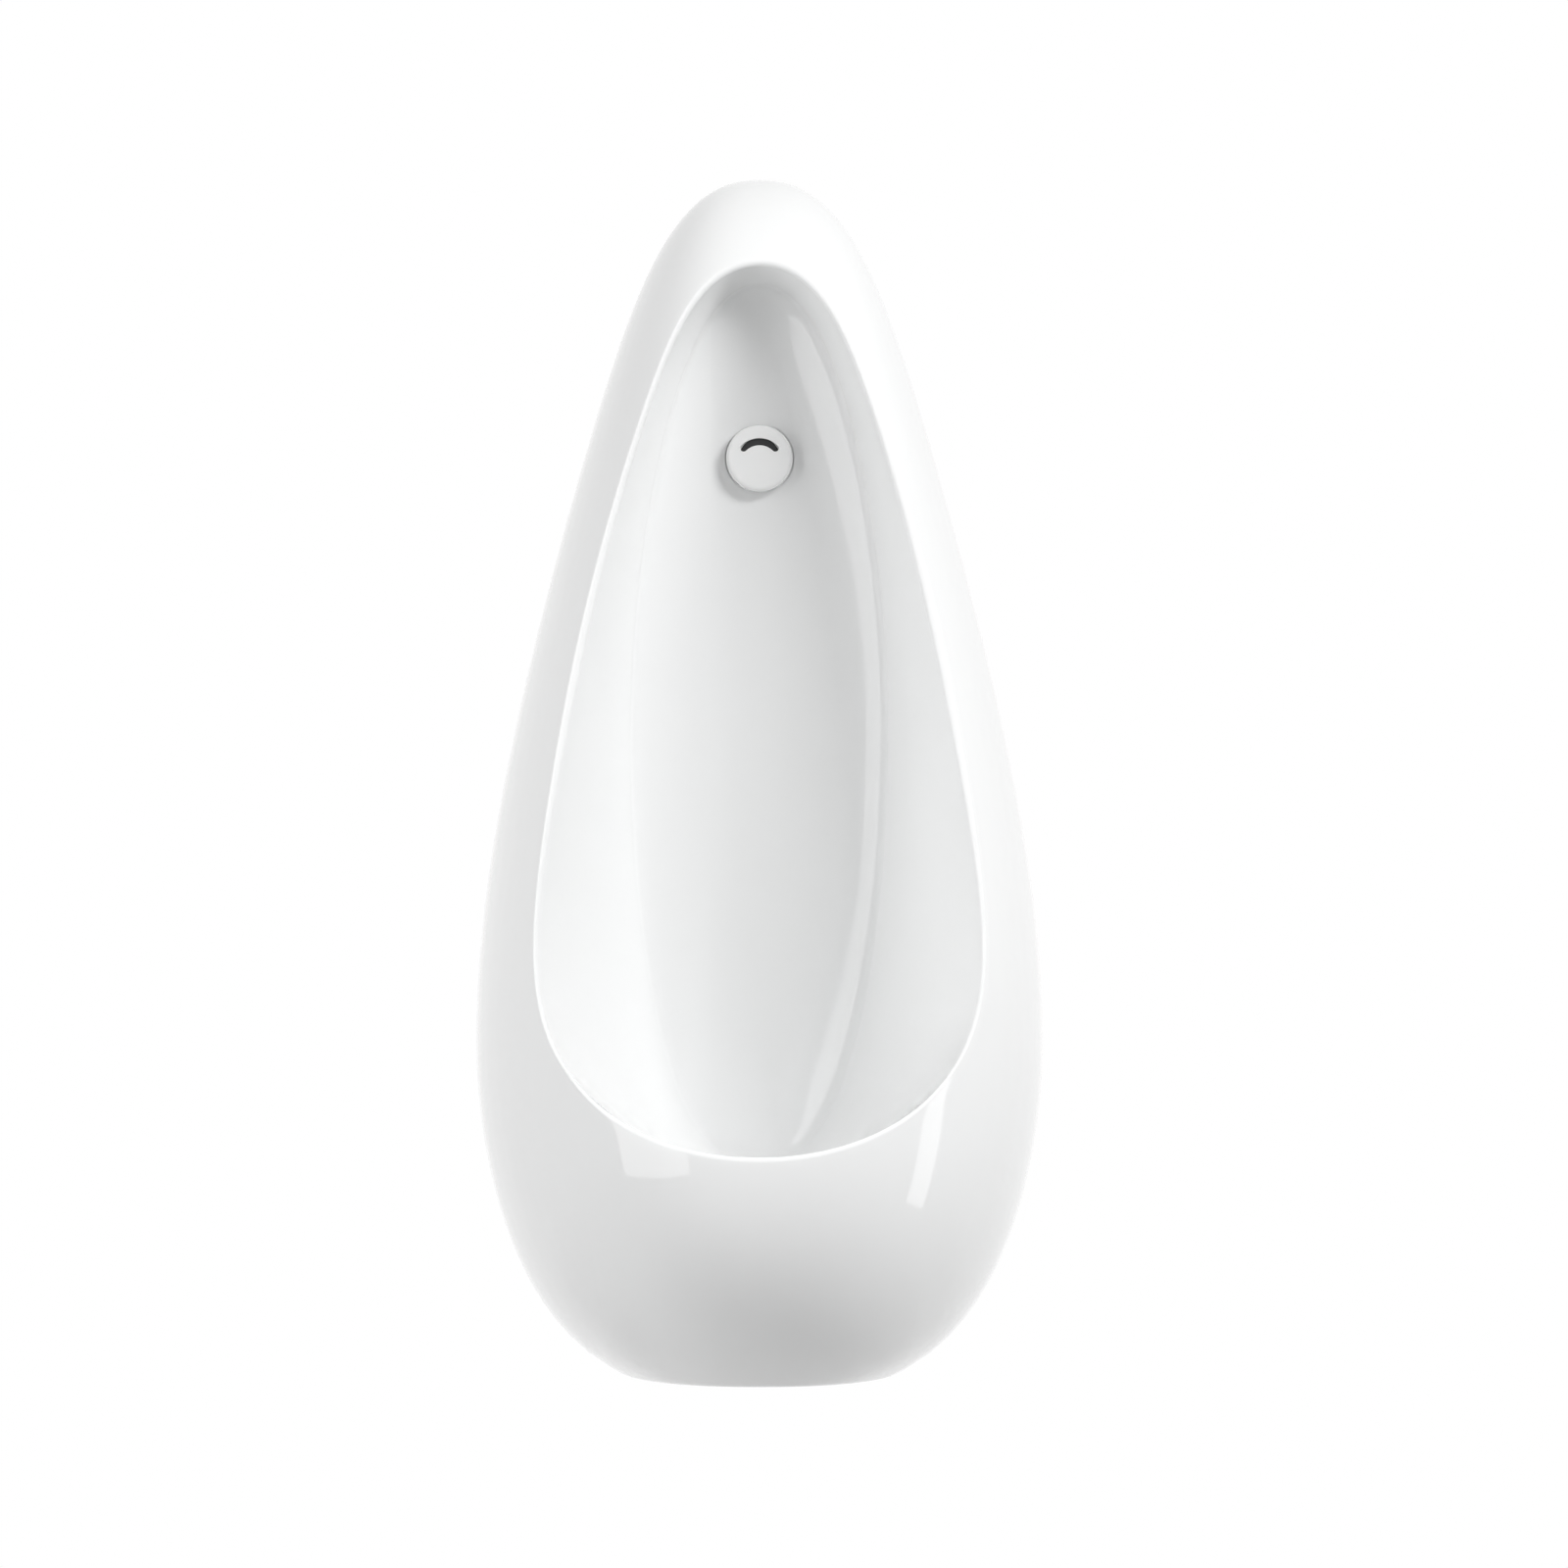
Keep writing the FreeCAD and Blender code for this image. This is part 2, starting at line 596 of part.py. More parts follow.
PARTS = {
    "china_bowl": china_bowl(),
    "china_shell": china_shell(),
    "china_flange": china_flange(),
    "spreader_cap": spreader_cap(),
    "spreader_cap_ring": spreader_cap_ring(),
    "spreader_body": spreader_body(),
    "spreader_seal": spreader_seal(),
    "spreader_gasket": spreader_gasket(),
    "spreader_washer": spreader_washer(),
    "spreader_backnut": spreader_backnut(),
    "inlet_washer": inlet_washer(),
    "inlet_coupling": inlet_coupling(),
    "waste_strainer": waste_strainer(),
    "waste_flange": waste_flange(),
    "waste_flange_seal": waste_flange_seal(),
    "waste_gasket": waste_gasket(),
    "waste_washer": waste_washer(),
    "waste_backnut": waste_backnut(),
    "trap_inlet_nut": trap_inlet_nut(),
    "trap_inlet_washer": trap_inlet_washer(),
    "trap_dip_tube": trap_dip_tube(),
    "trap_body": trap_body(),
    "trap_cup_seal": trap_cup_seal(),
    "trap_cup": trap_cup(),
    "trap_outlet_nut": trap_outlet_nut(),
    "trap_outlet_washer": trap_outlet_washer(),
    "trap_outlet_tube": trap_outlet_tube(),
    "outlet_socket": outlet_socket(),
    "hanger_left": hook(-HOOK_X),
    "hanger_right": hook(HOOK_X),
    "hanger_pad_left": hook_pad(-HOOK_X),
    "hanger_pad_right": hook_pad(HOOK_X),
    "fixing_sleeve_left": fixing_sleeve(-EAR_X),
    "fixing_sleeve_right": fixing_sleeve(EAR_X),
}

os.makedirs("parts", exist_ok=True)
for name, shape in PARTS.items():
    shape.exportStep(f"parts/{name}.step")
    print(name, shape.ShapeType, len(shape.Solids), shape.isValid(), round(shape.Volume / 1000, 1), "cm3")
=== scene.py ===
"""Looks for the wall hung urinal: glazed china bowl, flush cap, waste, trap and wall hooks.

Sizes are in millimetres, from the wall, the centreline and the base edge, as they are in the solids.
"""

import math

import bmesh
import bpy
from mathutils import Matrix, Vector


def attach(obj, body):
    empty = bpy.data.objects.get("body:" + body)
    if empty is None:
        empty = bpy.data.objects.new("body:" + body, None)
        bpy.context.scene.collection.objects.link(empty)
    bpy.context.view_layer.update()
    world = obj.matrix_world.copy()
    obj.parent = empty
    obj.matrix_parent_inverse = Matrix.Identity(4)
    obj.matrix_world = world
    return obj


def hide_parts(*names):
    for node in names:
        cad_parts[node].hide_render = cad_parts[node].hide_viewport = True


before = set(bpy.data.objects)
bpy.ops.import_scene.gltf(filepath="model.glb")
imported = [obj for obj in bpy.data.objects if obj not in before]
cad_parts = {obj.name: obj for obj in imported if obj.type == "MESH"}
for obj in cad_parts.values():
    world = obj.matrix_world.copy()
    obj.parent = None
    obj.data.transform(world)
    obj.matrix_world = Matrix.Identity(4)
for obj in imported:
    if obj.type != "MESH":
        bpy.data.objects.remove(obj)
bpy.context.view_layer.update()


# ---------- The bowl and shroud ----------
# One casting of vitreous china, slip cast hollow: an egg-shaped shell, a deep bowl with a round
# back wall inside it, a rounded rim between the two, and a flat back edge that stands on the wall.
# White glaze outside, bare fired body on the wall side and in the hollow.


def sum_of(operation, swapped=False):
    """An operator between wires or numbers that adds one Math node."""
    def add_up(first, second):
        return first.math(operation, *((second, first) if swapped else (first, second)))
    return add_up


class Wire:
    """One value in a node tree. Sums on it add Math nodes; add() makes any other kind of node."""

    def __init__(self, tree, socket=None):
        self.tree = tree
        self.socket = socket

    def add(self, kind, sockets=None, out=0, **settings):
        made = self.tree.nodes.new(kind)
        for name, value in settings.items():
            setattr(made, name, value)
        self.feed(sockets or {}, made)
        return Wire(self.tree, made.outputs[out] if made.outputs else None)

    def feed(self, sockets, node=None):
        """Sets or links inputs of a node, by default of the one that this wire comes from."""
        inputs = (node or self.socket.node).inputs
        for key, value in sockets.items():
            for one in value if isinstance(value, list) else [value]:
                if isinstance(one, Wire):
                    self.tree.links.new(one.socket, inputs[key])
                else:
                    inputs[key].default_value = one

    def also(self, name):
        """Another output of the node that this one comes from."""
        return Wire(self.tree, self.socket.node.outputs[name])

    def vector(self, x=0.0, y=0.0, z=0.0):
        return self.add("ShaderNodeCombineXYZ", {0: x, 1: y, 2: z})

    def parts(self):
        """The x, y and z of a vector."""
        x = self.add("ShaderNodeSeparateXYZ", {0: self})
        return x, x.also("Y"), x.also("Z")

    def shaped(self, point):
        """A mesh with its vertices set to the places that the point wire gives."""
        return self.add("GeometryNodeSetPosition", {"Geometry": self, "Position": point})

    def moved(self, x=0.0, y=0.0, z=0.0, tilt=0.0):
        """A mesh tilted about the x axis, then moved."""
        return self.add("GeometryNodeTransform", {
            "Geometry": self, "Translation": self.vector(x, y, z), "Rotation": self.vector(tilt)})

    def union(self, *others):
        return self.add("GeometryNodeMeshBoolean", {"Mesh 2": [self, *others]},
                        operation="UNION", solver="MANIFOLD")

    def without(self, *tools):
        return self.add("GeometryNodeMeshBoolean", {"Mesh 1": self, "Mesh 2": list(tools)},
                        operation="DIFFERENCE", solver="MANIFOLD")

    def math(self, operation, *values):
        return self.add("ShaderNodeMath", dict(enumerate(values)), operation=operation)

    __add__ = __radd__ = sum_of("ADD")
    __sub__, __rsub__ = sum_of("SUBTRACT"), sum_of("SUBTRACT", swapped=True)
    __mul__ = __rmul__ = sum_of("MULTIPLY")
    __truediv__, __rtruediv__ = sum_of("DIVIDE"), sum_of("DIVIDE", swapped=True)
    __pow__ = sum_of("POWER")
    __gt__, __lt__ = sum_of("GREATER_THAN"), sum_of("LESS_THAN")
    at_least, at_most = sum_of("MAXIMUM"), sum_of("MINIMUM")

    def __neg__(self):
        return self * -1.0


def new_tree(name, sizes, blank=False):
    """A geometry tree with one named input for each size, and its inputs as wires.

    A tree that works on a piece takes that piece's mesh first, then its material.
    """
    tree = bpy.data.node_groups.new(name, "GeometryNodeTree")
    tree.interface.new_socket("Geometry", in_out="OUTPUT", socket_type="NodeSocketGeometry")
    kinds = {"Blank": "NodeSocketGeometry", "Material": "NodeSocketMaterial"} if blank else {}
    for size, value in sizes.items():
        kinds[size] = "NodeSocketInt" if isinstance(value, int) else "NodeSocketFloat"
    for size, kind in kinds.items():
        socket = tree.interface.new_socket(size, in_out="INPUT", socket_type=kind)
        if size in sizes:
            socket.default_value = sizes[size]
    entry = tree.nodes.new("NodeGroupInput")
    return Wire(tree), {size: Wire(tree, entry.outputs[size]) for size in kinds}


def end_tree(mesh, material):
    """Closes a geometry tree: instances made real, then the material."""
    real = mesh.add("GeometryNodeRealizeInstances", {"Geometry": mesh})
    dressed = real.add("GeometryNodeSetMaterial", {"Geometry": real, "Material": material})
    dressed.add("NodeGroupOutput", {"Geometry": dressed})


def add_object(name, data):
    made = bpy.data.objects.new(name, data)
    bpy.context.scene.collection.objects.link(made)
    return made


def soften(mesh, sharp_over=32):
    """Smooth shading, but for the edges that turn by more than this many degrees."""
    for face in mesh.polygons:
        face.use_smooth = True
    mesh.set_sharp_from_angle(angle=math.radians(sharp_over))


def keep_form(piece, modifier):
    """Keeps what a modifier makes of a piece as its plain mesh, and takes the modifier away."""
    graph = bpy.context.evaluated_depsgraph_get()
    mesh = bpy.data.meshes.new_from_object(piece.evaluated_get(graph), depsgraph=graph)
    piece.modifiers.remove(modifier)
    piece.data = mesh


def worked(piece, tree, sizes, sharp_over=32):
    """Runs a geometry tree with its named sizes on a piece."""
    modifier = piece.modifiers.new("form", "NODES")
    modifier.node_group = tree
    values = {"Material": piece.active_material, **sizes}
    for socket in tree.interface.items_tree:
        if socket.name in values:
            modifier[socket.identifier] = values[socket.name]
    keep_form(piece, modifier)
    soften(piece.data, sharp_over)


def settle(piece, body, slot, *nodes_replaced):
    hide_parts(*nodes_replaced)
    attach(piece, body)


CHINA_SIZES = {
    "Height": 700.0, "Hang line": 585.0, "Half width": 166.7, "Widest at": 192.5,
    "Reach": 312.0, "Reach at": 212.0, "Undercut at": 150.0, "Roundness": 2.3, "Wall thickness": 12.0,
    "Rim middle": 390.1, "Rim half height": 254.8, "Rim radius": 3.0,
    "Back depth": 52.0, "Back middle": 380.0, "Back half height": 252.0, "Back half width": 70.0,
    "Trough width": 60.0, "Trough depth": 12.0, "Corner ease": 0.14, "Bowl skin": 10.0, "Sump drop": 22.0,
    "Drain depth": 150.0, "Seat height": 105.0, "Flange width": 24.0, "Flange thickness": 16.0,
    "Hanger bar": 589.5, "Ear distance": 90.0, "Ear height": 50.0, "Flush height": 534.0,
    "Edge radius": 2.5,
}
RIM_WIDTHS = (109.18, -49.26, 36.17, -36.31, 12.18, 26.2)
ROWS = {"back": 3, "trough": 22, "wall": 38, "rim": 10, "skin": 38, "edge": 4, "lid": 2}
RAYS = 288
CORNER_RAY = 115
MM = 0.001


def rule(name, sizes, given, gives, form):
    """A rule of the shape in a node group of its own; what comes back adds that group to a tree."""
    tree = bpy.data.node_groups.new(name, "GeometryNodeTree")
    for entry in [*sizes, *given]:
        tree.interface.new_socket(entry, in_out="INPUT", socket_type="NodeSocketFloat")
    for result in gives:
        tree.interface.new_socket(result, in_out="OUTPUT", socket_type="NodeSocketFloat")
    start = tree.nodes.new("NodeGroupInput")
    wires = {key: Wire(tree, start.outputs[key]) for key in [*sizes, *given]}
    results = form(wires, *[wires[key] for key in given])
    Wire(tree).add("NodeGroupOutput", dict(zip(gives, results)))

    def use(size, *values):
        sockets = {key: size[key] for key in sizes}
        sockets.update(zip(given, values))
        made = size[sizes[0]].add("GeometryNodeGroup", sockets, node_tree=tree)
        return made if len(gives) == 1 else [made.also(key) for key in gives]
    return use


def sine(angle):
    return angle.math("SINE", angle)


def cosine(angle):
    return angle.math("COSINE", angle)


def size_of(value):
    return value.math("ABSOLUTE", value)


def root(value):
    return value.math("SQRT", value.at_least(0.0))


def limit(value, low=0.0, high=1.0):
    return value.at_least(low).at_most(high)


def either(test, yes, no):
    return no + (yes - no) * test


# The egg's sides taper upwards from a soft start, and round off at both ends, with two powers each
SIDE_TAPER = 0.6945
SIDE_EASE = 0.318
SIDE_BULGE = 0.1806
CROWN = (16.9, 0.431)
FOOT = (1.9, 0.315)
FOOT_SPAN = 205.0


def half_width_form(size, height):
    """Half width of the shell against the wall at a height."""
    up = limit((height - size["Widest at"]) / (size["Height"] - size["Widest at"]))
    taper = 1 - SIDE_TAPER * (root(up * up + SIDE_EASE ** 2) - SIDE_EASE) - SIDE_BULGE * up ** 2
    upper = (1 - up ** CROWN[0]).at_least(0.0) ** CROWN[1] * taper
    down = limit((size["Widest at"] - height) / FOOT_SPAN)
    lower = (1 - down ** FOOT[0]).at_least(0.0) ** FOOT[1]
    return [size["Half width"] * upper.at_most(lower)]


# From the side it leans back to the wall at the top, and is undercut towards the base
FRONT_TAPER = 0.72
FRONT_EASE = 0.12
FRONT_CROWN = 9
UNDERCUT = 2.4
UNDERCUT_SPAN = 195.4


def reach_form(size, height):
    """How far the shell stands out from the wall on its centreline at a height."""
    up = limit((height - size["Reach at"]) / (size["Height"] - size["Reach at"]))
    taper = 1 - FRONT_TAPER * (root(up * up + FRONT_EASE ** 2) - FRONT_EASE)
    down = limit((size["Undercut at"] - height) / UNDERCUT_SPAN)
    return [size["Reach"] * (root(1 - up ** FRONT_CROWN) * taper).at_most(root(1 - down ** UNDERCUT))]


WIDTH_SIZES = ["Height", "Half width", "Widest at"]
REACH_SIZES = ["Height", "Reach", "Reach at", "Undercut at"]
SKIN_SIZES = [*WIDTH_SIZES, "Reach", "Reach at", "Undercut at", "Roundness"]
half_width = rule("half width", WIDTH_SIZES, ["Up"], ["Half width here"], half_width_form)
reach = rule("reach", REACH_SIZES, ["Up"], ["Reach here"], reach_form)


def skin_form(size, x, height):
    """How far out the shell's skin is at a place across and up."""
    share = (size_of(x) / half_width(size, height).at_least(0.001)).at_most(1.0)
    power = size["Roundness"]
    return [reach(size, height) * (1 - share ** power).at_least(0.0) ** (1 / power)]


skin_depth = rule("skin depth", SKIN_SIZES, ["Across", "Up"], ["Depth"], skin_form)


def rim_form(size, side, lean):
    """Across, up and out on the sharp edge between bowl and shell."""
    wide = lean * 0 + RIM_WIDTHS[0]
    for power, share in enumerate(RIM_WIDTHS[1:], 1):
        wide = wide + lean ** power * share
    x = side * wide
    up = size["Rim middle"] + size["Rim half height"] * lean
    return [x, skin_depth(size, x, up), up]


RIM_SIZES = SKIN_SIZES + ["Rim middle", "Rim half height"]
rim_place = rule("rim", RIM_SIZES, ["Side", "Lean"], ["Across", "Out", "Up"], rim_form)


# The bowl's floor dips behind the lip, in its lower half, and its wall swells out there
DIP_END = 1.25
DIP_POWER = 0.8
LOW_SWELL = 0.45


def bowl_form(size, side, lean, depth, grow):
    """Across and up on the bowl's wall at a depth: a leaf-shaped trough, then out to the rim."""
    rim_x, rim_out, rim_up = rim_place(size, side, lean)
    out = depth - size["Back depth"]
    drawn_in = 1 - root((out + grow) / size["Trough depth"])
    ease = (size["Corner ease"] - size_of(drawn_in)).at_least(0.0)
    corner = size["Trough width"] * (drawn_in.at_least(0.0) + ease * ease / (size["Corner ease"] * 4))
    share = out / (rim_out - size["Back depth"])
    low = (-lean).at_least(0.0)
    leaf_x = size["Back half width"] * side
    leaf_up = size["Back middle"] + size["Back half height"] * lean
    dip = low ** 3 * sine(limit(share, 0.0, DIP_END) ** DIP_POWER * math.pi)
    up = leaf_up + (grow - corner) * lean + (rim_up - leaf_up) * share - size["Sump drop"] * dip
    spread = share.at_least(0.0) ** (1 - LOW_SWELL * low ** 4) + share.at_most(0.0)
    return [leaf_x + (grow - corner) * side + (rim_x - leaf_x) * spread, up]


BOWL_SIZES = RIM_SIZES + ["Back depth", "Back middle", "Back half height", "Back half width",
                          "Trough width", "Trough depth", "Corner ease", "Sump drop"]
bowl_wall = rule("bowl wall", BOWL_SIZES, ["Side", "Lean", "Out", "Grow"], ["Across", "Up"], bowl_form)


# A cone round the waste's seat, blended into the floor within a radius and a height of the seat
SEAT_R = 33.0
SEAT_LIP = 4.0
CONE_SLOPE = 16 / 14
CONE_BLEND = 7.0
DISH_R = 62.0
DISH_HEIGHT = 60.0


def dish_form(size, x, depth, height):
    """The bowl's floor, eased down into the round seat of the waste."""
    behind = depth - size["Drain depth"]
    away = root(x * x + behind * behind)
    cone = size["Seat height"] + SEAT_LIP + (away - SEAT_R).at_least(0.0) * CONE_SLOPE
    eased = height.math("SMOOTH_MIN", height, cone, CONE_BLEND)
    return [either((away < DISH_R) * (height < size["Seat height"] + DISH_HEIGHT), eased, height)]


in_dish = rule("dish", ["Drain depth", "Seat height"], ["Across", "Out", "Up"], ["Up in dish"], dish_form)


def place(size, x, depth, height):
    """A point of the frame, in metres, from across, out of the wall and up."""
    return size["Hang line"].vector(x * MM, depth * -MM, (height - size["Hang line"]) * MM)


def between(a, b, share):
    """The point a share of the way from a to b."""
    return [one + (two - one) * share for one, two in zip(a, b)]


def distance(a, b):
    x, y, z = [two - one for one, two in zip(a, b)]
    return root(x * x + y * y + z * z)


# The glazed side is one sheet: rays from the middle of the back wall, out through the corner, the
# bowl's wall, the rounded rim and the outer skin to the back edge, and a lid that closes it.
nodes, size = new_tree("china form", CHINA_SIZES)
row_count = sum(ROWS.values())
sheet = nodes.add("GeometryNodeMeshGrid", {
    "Size X": 1.0, "Size Y": 1.0, "Vertices X": RAYS + 1, "Vertices Y": row_count + 1})
sheet_x, sheet_y, _ = nodes.add("GeometryNodeInputPosition").parts()
ray = nodes.math("ROUND", (sheet_x + 0.5) * RAYS)
row = nodes.math("ROUND", (sheet_y + 0.5) * row_count)
turn = ray * (2 * math.pi / RAYS)
side = sine(turn)
lean = cosine(turn)
half_ray = ray.at_most(RAYS - ray)
hand = 1 - 2 * (ray > RAYS / 2)


def along(name):
    """How far a row is through one stretch of the sheet, 0 to 1, and whether it is past its start."""
    first = sum(ROWS[key] for key in list(ROWS)[:list(ROWS).index(name)])
    return limit((row - first) / ROWS[name]), row > first + 0.5


rim_edge = rim_place(size, side, lean)
rim_x, rim_depth, rim_up = rim_edge
# The outline: down the wall from the top on both sides, then across the base's front edge
on_base = half_ray > CORNER_RAY + 0.5
down_side = cosine((half_ray / CORNER_RAY).at_most(1.0) * (math.pi / 2))
outline_up = (size["Height"] * down_side).at_least(0.0)
across_base = limit((RAYS / 2 - half_ray) / (RAYS / 2 - CORNER_RAY))
base_share = sine(across_base * (math.pi / 2)).at_least(0.0) ** (2 / size["Roundness"])
outline_share = either(on_base, base_share, 1 + ray * 0)
outline_x = hand * half_width(size, outline_up) * outline_share
SKIN_EASE = 1.3


def on_skin_form(size, share, rim_x, rim_up, outline_x, outline_up, outline_share):
    """A point on the outer skin, on one ray's way from the rim to the outline."""
    way = 1 - (1 - share).at_least(0.0) ** (1 + SKIN_EASE * outline_share ** 8)
    x = rim_x + (outline_x - rim_x) * way
    up = rim_up + (outline_up - rim_up) * way
    return [x, skin_depth(size, x, up), up]


skin_rule = rule("skin point", SKIN_SIZES,
                 ["Share", "Rim x", "Rim up", "Outline x", "Outline up", "Edge share"],
                 ["Across", "Out", "Up"], on_skin_form)


def on_skin(share):
    return skin_rule(size, share, rim_x, rim_up, outline_x, outline_up, outline_share)


# Short steps from the rim's edge, to find the two sides' directions there
NEAR = 0.004
WALL_STEP = 2.0
PAST_TROUGH = 1.2
corner_end = size["Back depth"] + size["Trough depth"] * PAST_TROUGH ** 2
wall_x, wall_up = bowl_wall(size, side, lean, rim_depth - WALL_STEP, 0.0)
to_wall = [wall_x, rim_depth - WALL_STEP, wall_up]
to_skin = on_skin(NEAR)
wall_way = distance(rim_edge, to_wall)
skin_way = distance(rim_edge, to_skin)
cosine_there = ray * 0
for edge_at, wall_at, skin_at in zip(rim_edge, to_wall, to_skin):
    cosine_there = cosine_there + (wall_at - edge_at) * (skin_at - edge_at) / (wall_way * skin_way)
# A round of this radius leaves both sides this far from the sharp edge, for the angle between them
spread = root((1 + cosine_there) / (1 - cosine_there))
setback = size["Rim radius"] * spread
rim_pull = (root(1 + spread * spread) - 1) * (4 / 3) / (spread * spread)
wall_end = rim_depth - setback * WALL_STEP / wall_way

# Back wall, corner and side walls of the bowl, with the floor eased into the drain's seat
back_s, _ = along("back")
flat_x, flat_up = bowl_wall(size, side, lean, size["Back depth"], 0.0)
form = [flat_x * back_s, size["Back depth"],
        size["Back middle"] + (flat_up - size["Back middle"]) * back_s]
corner_s, in_corner = along("trough")
wall_s, in_wall = along("wall")
corner_depth = size["Back depth"] + size["Trough depth"] * (corner_s * PAST_TROUGH) ** 2
wall_depth = either(in_wall, corner_end + (wall_end - corner_end) * wall_s, corner_depth)
wall_x, wall_up = bowl_wall(size, side, lean, wall_depth, 0.0)
form = between(form, [wall_x, wall_depth, in_dish(size, wall_x, wall_depth, wall_up)], in_corner)

edge_point = on_skin(1.0)
skin_start = setback * NEAR / skin_way
skin_end = 1 - size["Edge radius"] / distance(rim_edge, edge_point)

# The rounded rim: a smooth curve that leaves the bowl's wall and meets the skin in line with both
rim_s, in_rim = along("rim")
last_x, last_up = bowl_wall(size, side, lean, wall_end, 0.0)
before_end = wall_end - 0.5
near_x, near_up = bowl_wall(size, side, lean, before_end, 0.0)
first = [last_x, wall_end, last_up]
before = [near_x, before_end, near_up]
last = on_skin(skin_start)
after = on_skin(skin_start + NEAR)
second = between(first, before, -1 * setback * rim_pull / distance(before, first))
third = between(last, after, -1 * setback * rim_pull / distance(last, after))
one = between(first, second, rim_s)
two = between(second, third, rim_s)
three = between(third, last, rim_s)
form = between(form, between(between(one, two, rim_s), between(two, three, rim_s), rim_s), in_rim)

skin_s, in_skin = along("skin")
form = between(form, on_skin(skin_start + (skin_end - skin_start) * skin_s), in_skin)

# The small round at the back and base edges, and the flat lid behind them
LID_MIDDLE = 0.9
edge_s, in_edge = along("edge")
target = [ray * 0, ray * 0, outline_up * LID_MIDDLE]
inward = size["Edge radius"] / distance(edge_point, target)
edge_in = between(edge_point, target, inward)
edge = between(between(on_skin(skin_end), edge_point, edge_s), between(edge_point, edge_in, edge_s), edge_s)
form = between(form, edge, in_edge)
lid_s, in_lid = along("lid")
to_middle = either(lid_s > 0.75, 1 + ray * 0, inward * 0.6)
form = between(form, between(edge_in, target, to_middle), in_lid)

SAME_PLACE = 0.01
glazed = sheet.shaped(place(size, *form))
glazed = glazed.add("GeometryNodeMergeByDistance", {"Geometry": glazed, "Distance": SAME_PLACE * MM})


def bent_tube(around, along_it, form_at):
    """A closed tube that is bent into a form: form_at takes two directions and the place along."""
    mesh = nodes.add("GeometryNodeMeshCylinder", {
        "Vertices": around, "Side Segments": along_it, "Radius": 1.0, "Depth": 1.0})
    x, y, z = nodes.add("GeometryNodeInputPosition").parts()
    return mesh.shaped(place(size, *form_at(x, y, z + 0.5)))


HOLLOW_TOP = 680.0
HOLLOW_FOOT = -4.0
FOOT_EXTRA = 10.0
FOOT_RISE = 30.0


def inside_shell(across, back, rise):
    """The shell's inner face: half an oval at each level, with its flat side at the flange."""
    up = HOLLOW_FOOT + (HOLLOW_TOP - HOLLOW_FOOT) * (1 - cosine(rise * math.pi)) / 2
    inset = size["Wall thickness"] + FOOT_EXTRA * (1 - up.at_least(0.0) / FOOT_RISE).at_least(0.0)
    wide = half_width(size, up) - inset
    forward = (-back).at_least(0.0)
    power = size["Roundness"]
    out = reach(size, up) - inset
    swell = ((size_of(across) / wide) ** power + (forward / out) ** power) ** (-1 / power)
    x = across * either(back < 0.0001, swell, wide)
    return x, (swell * forward).at_least(size["Flange thickness"]), up


# The bowl's outer side, on past the shell's front, with this share of its rows in the corner
BOWL_FRONT = 345.0
CORNER_ROWS = 0.4
SKIN_PAST_TROUGH = 1.3


def round_bowl(across, up, out):
    """The bowl with its skin on, as the hollow sees it."""
    first = size["Back depth"] - size["Bowl skin"]
    bend = (out / CORNER_ROWS).at_most(1.0) * SKIN_PAST_TROUGH
    straight = (out - CORNER_ROWS).at_least(0.0) / (1 - CORNER_ROWS)
    trough_end = first + size["Trough depth"] * SKIN_PAST_TROUGH ** 2
    depth = first + size["Trough depth"] * bend * bend + (BOWL_FRONT - trough_end) * straight
    x, height = bowl_wall(size, across, up, depth, size["Bowl skin"])
    return x, depth, height


def flange_window(low, high):
    """A slab through the back flange that follows the outline, a flange's width inside it."""
    mesh = nodes.add("GeometryNodeMeshCube", {"Vertices X": 2, "Vertices Y": 2, "Vertices Z": 60})
    x, y, z = nodes.add("GeometryNodeInputPosition").parts()
    up = (high - low) * (z + 0.5) + low
    across = x * 2 * (half_width(size, up) - size["Flange width"])
    depth = size["Flange thickness"] / 2 - y * (size["Flange thickness"] + 2)
    return mesh.shaped(place(size, across, depth, up))


def peg(radius, x, height, near, far):
    """A round peg square to the wall."""
    return bent_tube(48, 1, lambda a, b, c: (a * radius + x, c * (far - near) + near, b * radius + height))


def post(radius, low, high):
    """A round post that stands on the drain's line."""
    return bent_tube(96, 1, lambda a, b, c: (
        a * radius, size["Drain depth"] - b * radius, c * (high - low) + low))


def bare(part):
    """Marks a tool's faces, so that what it cuts stays unglazed."""
    return nodes.add("GeometryNodeStoreNamedAttribute", {"Geometry": part, "Name": "unglazed", "Value": 1.0},
                     data_type="FLOAT", domain="FACE")


DRAIN_BOSS_R = 37.0
DRAIN_HOLE_R = 23.0
EAR_R = 22.0
EAR_HOLE_R = 6.0
FLUSH_HOLE_R = 12.0
CAP_SEAT_R = 20.3
ears = [-1 * size["Ear distance"], size["Ear distance"]]
drain_boss = post(DRAIN_BOSS_R, 95.0, 130.0)
cavity = bent_tube(160, 80, inside_shell).without(bent_tube(192, 40, round_bowl), drain_boss)
opening = flange_window(-1.0, size["Hanger bar"]).without(
    *[peg(EAR_R, x, size["Ear height"], -9.0, 16.0) for x in ears])
hollow = bare(cavity.union(opening))
holes = [bare(peg(EAR_HOLE_R, x, size["Ear height"], -5.0, 25.0)) for x in ears]
holes += [peg(FLUSH_HOLE_R, 0.0, size["Flush height"], 30.0, 60.0),
          peg(CAP_SEAT_R, 0.0, size["Flush height"], 52.0, 58.0),
          post(DRAIN_HOLE_R, 80.0, 120.0), post(SEAT_R, 105.0, 121.0)]


